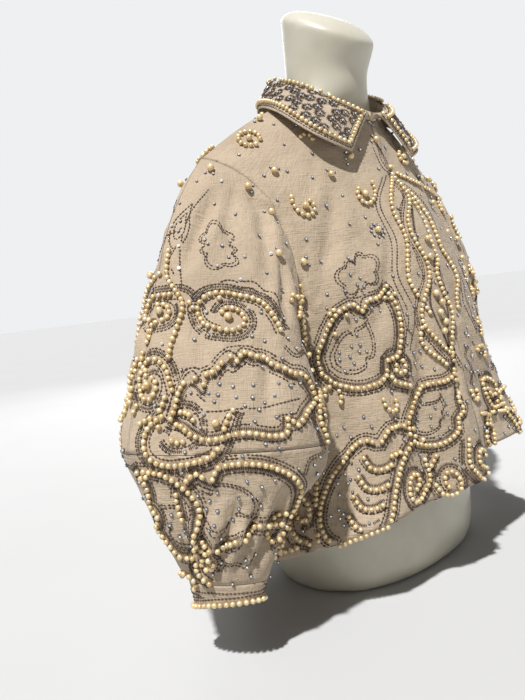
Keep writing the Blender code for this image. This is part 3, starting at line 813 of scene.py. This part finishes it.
def lay_out(spot, normal, view, turn, reach):
    """A fan of walks from a spot, turned from the right that the view shows; a walk ends where the cloth does."""
    right = cam_right * VIEWS[view]
    if is_mirrored(view):
        right = -right
    right = (right - normal * right.dot(normal)).normalized()
    up = normal.cross(right)
    swing = math.radians(turn)
    right, up = right * math.cos(swing) + up * math.sin(swing), up * math.cos(swing) - right * math.sin(swing)
    fan = []
    for way in range(WALK_WAYS):
        angle = 2 * math.pi * way / WALK_WAYS
        heading = right * math.cos(angle) + up * math.sin(angle)
        walk = [spot]
        while len(walk) * WALK_STEP < reach + WALK_STEP * 2:
            step, normal, _, gap = walls.find_nearest(walk[-1] + heading * WALK_STEP)
            if step is None or gap > LOST or (step - walk[-1]).length < WALK_STEP * 0.4:
                break
            run = step - walk[-1]
            heading = (run - normal * run.dot(normal)).normalized()
            walk.append(step)
        fan.append(walk)
    return fan


def on_cloth(fan, point):
    """The spot, normal and face of one drawn point, or nothing beyond the cloth."""
    reach = point.length / WALK_STEP
    way = (math.atan2(point.y, point.x) / (2 * math.pi) * WALK_WAYS) % WALK_WAYS
    low, near = int(reach), int(way) % WALK_WAYS
    far = (near + 1) % WALK_WAYS
    if low + 1 >= len(fan[near]) or low + 1 >= len(fan[far]):
        return None
    first = fan[near][low].lerp(fan[near][low + 1], reach - low)
    second = fan[far][low].lerp(fan[far][low + 1], reach - low)
    spot, normal, face, gap = walls.find_nearest(first.lerp(second, way - int(way)))
    return None if spot is None or gap > LOST else (spot, normal, face)


print("each pattern is walked out in", WALK_WAYS, "directions")

# %% [markdown]
# Beads can't share a place, so every new one is checked against those already sewn.
# A grid of small cells makes that check quick, where comparing each with all the others would take minutes.

# %% What is sewn where
class Crowd:
    """Places in small cells, to ask quickly whether one is taken."""

    def __init__(self, cell):
        self.cell = cell
        self.cells = {}

    def key(self, spot):
        return tuple(int(math.floor(v / self.cell)) for v in spot)

    def near(self, spot, gap):
        a, b, c = self.key(spot)
        for i in (a - 1, a, a + 1):
            for j in (b - 1, b, b + 1):
                for k in (c - 1, c, c + 1):
                    for other in self.cells.get((i, j, k), ()):
                        if (other - spot).length < gap:
                            return True
        return False

    def add(self, spot):
        self.cells.setdefault(self.key(spot), []).append(spot)


bead_crowd = Crowd(0.009)
stitch_crowd = Crowd(0.004)
beads, stones, stitch_lines, sewn_motifs = [], [], [], []
CLEAR_WAY = 0.009
CLEAR_START = 0.003
BEAD_ROOM = 0.47
STONE_ROOM = 0.0048
RUN_BREAK = 0.02
MOTIF_REACH = 0.85
MOTIF_ROOM = 0.42


def nearest(spot):
    """The spot, normal and face of the cloth nearest to a spot."""
    return walls.find_nearest(spot)[:3]


def is_free(spot, normal, gap):
    """Whether no bead is near, and no other panel lies just over the spot."""
    blocked = bead_crowd.near(spot, gap) or walls.ray_cast(spot + normal * CLEAR_START, normal, CLEAR_WAY)[0]
    return not blocked


def sew_bead(place, size):
    spot, normal, face = place
    if is_free(spot, normal, PEARL * BEAD_ROOM + size * BEAD_ROOM):
        bead_crowd.add(spot)
        beads.append((spot, normal, owners[face], size))


def sew_stone(place):
    spot, normal, face = place
    if is_free(spot, normal, STONE_ROOM):
        bead_crowd.add(spot)
        stones.append((spot, normal, owners[face]))


def sew_strand(kind, places):
    """One strand of places on the cloth; a gap in it ends one run and starts the next."""
    runs, run = [], []
    for place in places:
        broken = place is None or (run and (place[0] - run[-1][0]).length > RUN_BREAK)
        if broken and run:
            runs.append(run)
            run = []
        if place is not None:
            run.append(place)
    runs.append(run)
    for run in runs:
        if kind in ("strokes", "dashes"):
            if len(run) > 2:
                stitch_lines.append((kind, run))
        elif kind == "stone":
            for place in run:
                sew_stone(place)
        elif kind == "big":
            for place in run:
                sew_bead(place, BIG_PEARL)
        elif len(run) > 1:
            for spot in evenly([p[0] for p in run], PEARL_STEP):
                sew_bead(nearest(spot), PEARL)


def sew_motif(kind, spot, normal, view, length, turn, flip=1):
    """Lays a whole motif on the cloth round one place."""
    fan = lay_out(spot, normal, view, turn, length * MOTIF_REACH)
    for strand, points in MOTIFS[kind](length):
        sew_strand(strand, [on_cloth(fan, Vector((p.x * flip, p.y))) for p in points])
    sewn_motifs.append((spot, length * MOTIF_ROOM))


print("pearl", PEARL, "large pearl", BIG_PEARL)

# %% [markdown]
# The places, sizes and turns of the motifs follow the photograph, each as one pixel, one length and one angle.
# The same list, seen from mirrored cameras, dresses the left side and the back, where the photograph shows
# nothing, and a motif that would fall on one already sewn is left out.

# %% Motifs by place
PLACED = (
    # kind, pixel across, pixel down, length in metres, turn in degrees, hand
    ("vase", 431, 262, 0.250, 14, 1),
    ("ring", 249, 140, 0.026, 0, 1),
    ("hook", 308, 141, 0.022, 20, 1),
    ("curl", 306, 205, 0.042, 30, -1),
    ("curl", 362, 193, 0.046, 0, 1),
    ("star", 377, 231, 0.017, 0, 1),
    ("dot", 274, 172, 0.012, 0, 1),
    ("dot", 330, 175, 0.012, 0, 1),
    ("cloud", 358, 274, 0.074, 10, 1),
    ("cloud", 218, 246, 0.074, 75, 1),
    ("sprig", 180, 226, 0.075, -6, 1),
    ("paisley", 372, 338, 0.138, -52, -1),
    ("hook", 342, 318, 0.046, 100, 1),
    ("scroll", 398, 366, 0.036, 40, 1),
    ("paisley", 444, 410, 0.116, -62, -1),
    ("feathered", 362, 476, 0.164, -14, 1),
    ("scroll", 414, 486, 0.046, 160, 1),
    ("scroll", 449, 482, 0.048, 200, -1),
    ("scroll", 228, 318, 0.074, 70, -1),
    ("garland", 242, 312, 0.092, -18, 1),
    ("leaf", 246, 402, 0.160, -84, 1),
    ("scroll", 176, 432, 0.084, 110, 1),
    ("paisley", 174, 508, 0.112, 18, -1),
    ("paisley", 250, 496, 0.150, -78, 1),
    ("scroll", 206, 562, 0.034, 20, 1),
    ("scroll", 150, 386, 0.060, 10, -1),
    ("scroll", 300, 512, 0.050, 30, 1),
    ("paisley", 487, 430, 0.052, 20, 1),
    ("hook", 482, 354, 0.030, 30, 1),
    ("scroll", 488, 388, 0.048, 60, 1),
    ("scroll", 478, 300, 0.044, 200, 1),
)


def is_taken(kind, spot, reach):
    """Whether a mirrored motif has to be left out. The tall one is for the front opening alone."""
    return kind == "vase" or any((spot - other).length < reach + size for other, size in sewn_motifs)


for view in VIEWS:
    flip = -1 if is_mirrored(view) else 1
    for kind, across, down, length, turn, hand in PLACED:
        spot, normal, _ = cast(view, across, down)
        if spot and (view == "photo" or not is_taken(kind, spot, length * MOTIF_ROOM)):
            sew_motif(kind, spot, normal, view, length, turn * flip, hand * flip)
    print("motifs after the view", view, len(sewn_motifs), "pearls:", len(beads))

# %% [markdown]
# Some rows of pearls run free of any motif: down the sleeve's edge, beside the front opening and on the hem.
# Each is a smooth line through a few spots of the photograph, cast on to the cloth.

# %% Free rows
ROWS = (
    ("pearls", ((170, 252), (168, 277), (183, 306), (172, 344), (166, 366))),
    ("pearls", ((151, 320), (146, 350), (133, 392), (128, 408))),
    ("pearls", ((165, 356), (168, 384), (160, 412), (140, 425))),
    ("pearls", ((147, 360), (147, 385), (133, 418))),
    ("pearls", ((391, 176), (391, 208), (405, 240), (408, 280), (430, 314))),
    ("pearls", ((480, 414), (498, 411), (515, 408))),
    ("pearls", ((317, 482), (316, 512), (318, 544))),
    ("pearls", ((282, 553), (296, 548), (308, 540))),
    ("dashes", ((386, 176), (380, 205), (396, 240), (398, 275), (414, 312), (410, 350))),
    ("dashes", ((382, 178), (376, 206), (391, 242), (393, 278), (408, 314), (404, 348))),
    ("dashes", ((373, 148), (382, 167), (391, 174))),
    ("dashes", ((377, 144), (386, 160), (391, 174))),
    ("dashes", ((208, 190), (190, 214), (180, 250), (182, 290))),
)

# These rows belong to the front opening alone and aren't mirrored.
FRONT_ROWS = (
    ("pearls", ((396, 175), (421, 187), (446, 205))),
    ("pearls", ((446, 205), (459, 238), (484, 258))),
    ("pearls", ((423, 318), (421, 342), (446, 365))),
)


def sew_rows(view, rows):
    for kind, path in rows:
        places = [cast(view, *spot) for spot in curve(path)]
        sew_strand(kind, [place if place[0] else None for place in places])


for view in VIEWS:
    sew_rows(view, ROWS)
sew_rows("photo", FRONT_ROWS)
print("pearls with free rows:", len(beads))

# %% [markdown]
# What is still bare gets small motifs, thick below and thin on the shoulders and chest, as the real one has.
# Spots are drawn at random on the outer walls with a fixed seed, and each takes the largest motif that fits.

# %% Filling in
FILL_TRIES = 5200
QUIET_HEIGHT = 0.375
# room that a motif needs, its kind, its length
FILLERS = ((0.046, "paisley", 0.086), (0.034, "scroll", 0.054), (0.022, "hook", 0.034), (0.017, "tendril", 0.044))
QUIET_FILLERS = ((0.056, "cloud", 0.056), (0.042, "curl", 0.034), (0.030, "dot", 0.012))
FILLER_GAP = 0.0085
FREE_START = 0.004
FREE_AHEAD = 0.03
MOTIF_OVERLAP = 0.9
STRAY_STONES = 2600
STONE_GAP = 0.0112
QUIET_STONES = 2.3
STONE_TO_PEARL = 0.0075

pool = []
for node, cloth in cloths.items():
    if PANELS[node] != "collar" and not node.startswith("cuff"):
        pool += [(face.center.copy(), face.area) for face in cloth.data.polygons if facing(node, face) > 0]
weights = [area for _, area in pool]
for spot, _ in rng.choices(pool, weights=weights, k=FILL_TRIES):
    spot, normal, _ = nearest(spot)
    if walls.ray_cast(spot + normal * FREE_START, normal, FREE_AHEAD)[0] is not None:
        continue
    room = min((spot - other).length - size * MOTIF_OVERLAP for other, size in sewn_motifs)
    for need, kind, length in QUIET_FILLERS if spot.z > QUIET_HEIGHT else FILLERS:
        if room > need and not bead_crowd.near(spot, FILLER_GAP):
            sew_motif(kind, spot, normal, "photo", length, rng.uniform(0, 360), rng.choice((-1, 1)))
            break
print("all motifs:", len(sewn_motifs), "pearls:", len(beads))

stone_crowd = Crowd(0.03)
for spot, _ in rng.choices(pool, weights=weights, k=STRAY_STONES):
    place = nearest(spot)
    spot = place[0]
    gap = STONE_GAP * (QUIET_STONES if spot.z > QUIET_HEIGHT else 1.0)
    if not stone_crowd.near(spot, gap) and not bead_crowd.near(spot, STONE_TO_PEARL):
        stone_crowd.add(spot)
        sew_stone(place)
print("stones:", len(stones))

# %% [markdown]
# The turned-down collar is edged with a row of pearls between back stitches, and its surface is netted with
# round flowers of stitches, each with a stone in its middle.
# Its rows follow the rim at a set distance: the rim's distance is worked out at every corner of the mesh,
# and the row is the line where that distance has the wanted value, as a contour on a map.

# %% Rows at a set distance from a rim
OUTSIDE = 0.15
RIM_OUTSIDE = 0.3


def rim_tree(node):
    """The corners of the outer wall where it turns into the rim, as a tree that finds the nearest one."""
    mesh = cloths[node].data
    meetings = {}
    for face in mesh.polygons:
        outside = facing(node, face)
        for vertex in face.vertices:
            meetings.setdefault(vertex, []).append((face.normal, outside))
    corners = []
    for vertex, entries in meetings.items():
        sharp = any(a[0].angle(b[0], 0) > SHARP for a in entries for b in entries)
        if sharp and max(entry[1] for entry in entries) > RIM_OUTSIDE:
            corners.append(mesh.vertices[vertex].co)
    tree = KDTree(len(corners))
    for i, corner in enumerate(corners):
        tree.insert(corner, i)
    tree.balance()
    return tree


def contour(node, gap):
    """Lines on the outer wall at one distance from its rim, each a list of spots."""
    mesh = cloths[node].data
    tree = rim_tree(node)
    depth = [tree.find(v.co)[2] for v in mesh.vertices]
    links = {}
    for face in mesh.polygons:
        if facing(node, face) < OUTSIDE:
            continue
        corners = list(face.vertices)
        crossings = []
        for a, b in zip(corners, corners[1:] + corners[:1]):
            if (depth[a] - gap) * (depth[b] - gap) < 0:
                share = (gap - depth[a]) / (depth[b] - depth[a])
                spot = mesh.vertices[a].co.lerp(mesh.vertices[b].co, share)
                crossings.append(((min(a, b), max(a, b)), spot))
        if len(crossings) == 2:
            (one, spot_one), (two, spot_two) = crossings
            links.setdefault(one, []).append((two, spot_one))
            links.setdefault(two, []).append((one, spot_two))
    lines = []
    seen = set()
    for start in sorted(links, key=lambda k: len(links[k])):
        line = []
        here = None if start in seen else start
        while here is not None:
            seen.add(here)
            line.append(links[here][0][1])
            here = next((other for other, _ in links[here] if other not in seen), None)
        if len(line) > 3:
            lines.append(line)
    return lines


def sew_contour(node, kind, gap, lowest=False):
    lines = contour(node, gap)
    if lowest:
        lines = sorted(lines, key=lambda line: sum(spot.z for spot in line) / len(line))[:1]
    for line in lines:
        sew_strand(kind, [nearest(spot) for spot in line])


EDGE_ROW = 0.0082
EDGE_STITCHES = (0.0035, EDGE_ROW + 0.0042)
FOLD_DROP = 0.004
FOLD_OUTSIDE = 0.25
FOLD_DEGREES = 4
CUFF_ROW = 0.0040
CUFF_STITCHES = (0.0090, 0.0120)


def fold_row():
    """Places along the top of the fold, from one front end round the neck to the other."""
    best = {}
    for face in cloths["collar_fall"].data.polygons:
        if facing("collar_fall", face) > FOLD_OUTSIDE:
            away = outward("collar_fall", face.center)
            turn = round(math.degrees(math.atan2(away.x, away.y)) / FOLD_DEGREES)
            if turn not in best or face.center.z > best[turn].z:
                best[turn] = face.center.copy()
    line = [best[turn] for turn in sorted(best)]
    soft = [(a + b + c) / 3 for a, b, c in zip(line, line[1:], line[2:])]
    return [nearest(spot - Vector((0, 0, FOLD_DROP))) for spot in curve(soft, 4)]


sew_contour("collar_fall", "pearls", EDGE_ROW)
sew_strand("pearls", fold_row())
for gap in EDGE_STITCHES:
    sew_contour("collar_fall", "dashes", gap)
for node in ("cuff_right", "cuff_left"):
    sew_contour(node, "pearls", CUFF_ROW, lowest=True)
    for gap in CUFF_STITCHES:
        sew_contour(node, "dashes", gap)
print("pearls with collar and cuffs:", len(beads))

# %% Flowers on the collar
FLOWER_STEP = 0.0112
FLOWER_RIM = 0.012
FLOWER_REACH = 0.009
FLOWER_ROWS = (("strokes", 0.0052), ("dashes", 0.0032))

fall = cloths["collar_fall"].data
fall_faces = [face.center.copy() for face in fall.polygons if facing("collar_fall", face) > RIM_OUTSIDE]
fall_rim = rim_tree("collar_fall")
flower_crowd = Crowd(0.02)
flowers = 0
rng.shuffle(fall_faces)
for spot in fall_faces:
    if flower_crowd.near(spot, FLOWER_STEP) or fall_rim.find(spot)[2] < FLOWER_RIM:
        continue
    flower_crowd.add(spot)
    place = nearest(spot)
    fan = lay_out(place[0], place[1], "photo", 0, FLOWER_REACH)
    for kind, size in FLOWER_ROWS:
        petals = [ray(a) * size * (1 + 0.14 * math.sin(6 * a)) for a in np.linspace(0, 2 * math.pi, 26)]
        sew_strand(kind, [on_cloth(fan, p) for p in petals])
    sew_stone(place)
    flowers += 1
print("collar flowers:", flowers)

# %% [markdown]
# Stitches come last, so that none lies under a bead.
# Strokes stand across their line and dashes run along it, and each keeps its own small unevenness.

# %% Stitches
# spacing along the line, length and width of one stitch, all in metres
STITCH = {"strokes": (0.0017, 0.0050, 0.0014), "dashes": (0.0040, 0.0041, 0.0022)}
STITCH_TO_PEARL = 0.0034
STITCH_GAP = 0.0012
STITCH_START = 0.002
STITCH_AHEAD = 0.005
stitches = []

for kind, run in stitch_lines:
    step, long, wide = STITCH[kind]
    spots = evenly([p[0] for p in run], step)
    for i, spot in enumerate(spots):
        ahead = spots[min(i + 1, len(spots) - 1)] - spots[max(i - 1, 0)]
        spot, normal, face = nearest(spot)
        if ahead.length < 1e-6 or bead_crowd.near(spot, STITCH_TO_PEARL):
            continue
        over = walls.ray_cast(spot + normal * STITCH_START, normal, STITCH_AHEAD)[0]
        if over or stitch_crowd.near(spot, STITCH_GAP):
            continue
        stitch_crowd.add(spot)
        along = (ahead - normal * ahead.dot(normal)).normalized()
        if kind == "strokes":
            along = normal.cross(along)
        stitches.append((spot, normal, owners[face], along, long, wide))
print("stitches:", len(stitches))

# %% [markdown]
# Thousands of equal things are one small shape and a list of places.
# Geometry Nodes puts the shape at each place: the tree reads the size and turn that each place carries,
# and its named inputs set how uneven the things are and the seed of that unevenness.

# %% Node trees
def make_tree(name, unevenness, seed, shapes):
    """A tree that puts every shape at every place.

    A shape is a node type, the node's inputs, a material, and whether it is shaded smooth.
    """
    tree = bpy.data.node_groups.new(name, "GeometryNodeTree")
    sockets = tree.interface
    sockets.new_socket("Places", in_out="INPUT", socket_type="NodeSocketGeometry")
    for label, kind, value in (("Unevenness", "Float", unevenness), ("Seed", "Int", seed)):
        sockets.new_socket(label, in_out="INPUT", socket_type="NodeSocket" + kind).default_value = value
    sockets.new_socket("Made", in_out="OUTPUT", socket_type="NodeSocketGeometry")
    entry = add_node(tree, "NodeGroupInput").outputs
    nodes = Nodes(tree)
    add = nodes.node
    uneven_by = Value(nodes, entry["Unevenness"])
    limits = {2: 1 - uneven_by, 3: 1 + uneven_by, "Seed": entry["Seed"]}
    chance = add("FunctionNodeRandomValue", {"data_type": "FLOAT"}, limits, 1)
    size, turn = (add("GeometryNodeInputNamedAttribute", {"data_type": "FLOAT_VECTOR"}, {"Name": label})
                  for label in ("size", "turn"))
    scale = add("ShaderNodeVectorMath", {"operation": "MULTIPLY"}, {0: size, 1: chance})
    ends = []
    for kind, inputs, material, smooth in shapes:
        shape = add(kind, {}, inputs)
        if smooth:
            shape = add("GeometryNodeSetShadeSmooth", {}, {0: shape})
        put = add("GeometryNodeInstanceOnPoints", {}, {"Points": entry["Places"], "Instance": shape,
                                                       "Rotation": turn, "Scale": scale})
        real = add("GeometryNodeRealizeInstances", {}, {"Geometry": put})
        ends.append(add("GeometryNodeSetMaterial", {}, {"Geometry": real, "Material": material}))
    made = ends[0]
    if len(ends) > 1:
        join = add_node(tree, "GeometryNodeJoinGeometry")
        for end in ends:
            tree.links.new(end.socket, join.inputs[0])
        made = join.outputs[0]
    add_node(tree, "NodeGroupOutput", {}, {0: made})
    return tree


BALL = ("GeometryNodeMeshIcoSphere", {"Radius": 0.5, "Subdivisions": 2}, pearl.material, True)
GRAIN = ("GeometryNodeMeshUVSphere", {"Segments": 4, "Rings": 2, "Radius": 0.5}, thread.material, True)
CHIP = ("GeometryNodeMeshCone", {"Vertices": 8, "Radius Top": 0.26, "Radius Bottom": 0.47, "Depth": 0.42},
        stone.material, False)
CUP = ("GeometryNodeMeshCylinder", {"Vertices": 8, "Radius": 0.56, "Depth": 0.34}, setting.material, False)
TREES = {
    "pearls": make_tree("pearls_on_places", 0.06, 3, [BALL]),
    "stitches": make_tree("stitches_on_places", 0.14, 5, [GRAIN]),
    "stones": make_tree("stones_on_places", 0.12, 11, [CHIP, CUP]),
}
print("trees:", [tree.name for tree in bpy.data.node_groups])

# %% Beads, stitches and stones as pieces
PEARL_SEAT = 0.44
PEARL_SQUASH = 0.94
STITCH_LIFT = 0.0003
STITCH_HEIGHT = 0.0012
STONE_LIFT = 0.0009
STONE_SIZE = (0.0032, 0.0032, 0.0034)


def group_of(node):
    if node.startswith("back"):
        return "back"
    if PANELS[node] == "body":
        return node
    if PANELS[node] == "collar":
        return "collar"
    return "sleeve_" + node.split("_")[-1]


GROUPS = {node: group_of(node) for node in PANELS}


def turned(normal, along):
    """The turn that puts X along the stitch and Z away from the cloth."""
    side_way = normal.cross(along).normalized()
    return Matrix((side_way.cross(normal), side_way, normal)).transposed().to_euler()


def planted_piece(name, tree, rows):
    """A plain mesh piece. Each row holds the place, turn and size of one thing."""
    mesh = bpy.data.meshes.new(name)
    mesh.from_pydata([row[0] for row in rows], [], [])
    for label, column in (("turn", 1), ("size", 2)):
        layer = mesh.attributes.new(label, "FLOAT_VECTOR", "POINT")
        layer.data.foreach_set("vector", [v for row in rows for v in row[column]])
    piece = new_object(name, mesh)
    maker = piece.modifiers.new("maker", "NODES")
    maker.node_group = tree
    for item in tree.interface.items_tree:
        if item.in_out == "INPUT" and item.socket_type != "NodeSocketGeometry":
            maker[item.identifier] = item.default_value
    settle(piece)
    piece.data.name = name
    return piece


trims = {}
for group in sorted(set(GROUPS.values())):
    rows = {kind: [] for kind in TREES}
    for spot, normal, node, size in beads:
        if GROUPS[node] == group:
            tilt = Vector((rng.uniform(0, 3), rng.uniform(0, 3), rng.uniform(0, 3)))
            rows["pearls"].append((spot + normal * size * PEARL_SEAT, tilt, (size, size, size * PEARL_SQUASH)))
    for spot, normal, node, along, long, wide in stitches:
        if GROUPS[node] == group:
            sizes = (long, wide, STITCH_HEIGHT)
            rows["stitches"].append((spot + normal * STITCH_LIFT, turned(normal, along), sizes))
    for spot, normal, node in stones:
        if GROUPS[node] == group:
            rows["stones"].append((spot + normal * STONE_LIFT, turned(normal, normal.orthogonal()), STONE_SIZE))
    for kind, tree in TREES.items():
        name = kind + "_" + group
        trims[name] = planted_piece(name, tree, rows[kind])
        print(name, "triangles:", sum(len(f.vertices) - 2 for f in trims[name].data.polygons))

# %% [markdown]
# The dress form under the jacket is a plain moulded torso with a slanted neck, in cream satin plastic.
# Its solid has the right shape, but facets show on its neck, so a smoothed copy stands for it.

# %% Dress form
form = smooth_copy("dress_form")
form.name = "dress_form_skin"
dress(form, plastic.material)
print("form faces:", len(form.data.polygons))

# %% [markdown]
# Every smoothed copy now stands in for its solid, which is hidden, and every piece rides on one root.
# The flat sizes are those of the paper pattern: widest across and longest down, printed beside the true area of
# the cut.

# %% Hiding the solids and hanging the pieces on one root
FLAT = {
    # width, length in metres
    "front_right": (0.31, 0.55), "front_left": (0.31, 0.52), "back_right": (0.31, 0.57), "back_left": (0.33, 0.56),
    "upper_sleeve_front_right": (0.28, 0.37), "upper_sleeve_back_right": (0.22, 0.34),
    "upper_sleeve_front_left": (0.25, 0.36), "upper_sleeve_back_left": (0.25, 0.35),
    "lower_sleeve_right": (0.48, 0.16), "lower_sleeve_left": (0.48, 0.16),
    "cuff_right": (0.21, 0.035), "cuff_left": (0.22, 0.035),
    "collar_stand": (0.43, 0.03), "collar_fall": (0.52, 0.08),
}
for node, cloth in cloths.items():
    area = sum(face.area for face in cloth.data.polygons) / 2
    width, length = FLAT[node]
    print(node, "cloth area, square metres:", round(area, 4), "flat:", round(width * length, 4))
    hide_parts(node)
    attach(cloth, "root")
for piece in trims.values():
    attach(piece, "root")
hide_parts("dress_form")
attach(form, "root")

# %% [markdown]
# The floor is a plain pale disc, wide enough to meet a pale sky far behind.
# A lamp from the upper left gives the shade between the pearls, a weak one behind lifts the far side,
# and the sky is dim as a light but pale to look at and to be mirrored, so that the glass chips sparkle.

# %% Floor and light
FLOOR_RADIUS = 40.0
FLOOR_SIDES = 96
floor_mesh = bpy.data.meshes.new("floor")
floor_mesh.from_pydata([(FLOOR_RADIUS * math.cos(turn), FLOOR_RADIUS * math.sin(turn), 0.0)
                        for turn in np.linspace(0, 2 * math.pi, FLOOR_SIDES, endpoint=False)],
                       [], [list(range(FLOOR_SIDES))])
floor = new_object("floor", floor_mesh)
floor_paint = Finish("pale_floor", Roughness=0.9)
floor_paint.paint(floor_paint.noise(3, 2), (0.53, 0.53, 0.53), (0.56, 0.56, 0.555))
floor.data.materials.append(floor_paint.material)


def lamp(name, kind, energy, place, size):
    light = new_object(name, bpy.data.lights.new(name, kind))
    light.data.energy = energy
    light.location = place
    light.rotation_mode = "QUATERNION"
    light.rotation_quaternion = (AIM - Vector(place)).to_track_quat("-Z", "Y")
    setattr(light.data, "size" if kind == "AREA" else "angle", size)
    return light


lamps = (lamp("key", "SUN", 4.8, (-1.3, -0.66, 2.8), math.radians(2.5)),
         lamp("fill", "AREA", 0.8, (0.9, -1.9, 1.2), 1.4),
         lamp("rear", "AREA", 20, (1.4, 1.8, 1.5), 1.6))
world = bpy.data.worlds.new("sky")
bpy.context.scene.world = world
world.use_nodes = True
sky_tree = world.node_tree
dim_sky = sky_tree.nodes["Background"]
dim_sky.inputs["Color"].default_value = (0.95, 0.97, 1.0, 1)
dim_sky.inputs["Strength"].default_value = 0.12
pale_sky = add_node(sky_tree, "ShaderNodeBackground", {}, {"Color": (0.86, 0.87, 0.88, 1)})
rays = add_node(sky_tree, "ShaderNodeLightPath").outputs
seen_rays = add_node(sky_tree, "ShaderNodeMath", {"operation": "MAXIMUM"},
                     {0: rays["Is Camera Ray"], 1: rays["Is Glossy Ray"]})
skies = add_node(sky_tree, "ShaderNodeMixShader", {},
                 {0: seen_rays.outputs[0], 1: dim_sky.outputs[0], 2: pale_sky.outputs[0]})
sky_tree.links.new(skies.outputs[0], sky_tree.nodes["World Output"].inputs["Surface"])
bpy.context.scene.view_settings.view_transform = "Standard"
print("lamps:", [light.name for light in lamps])
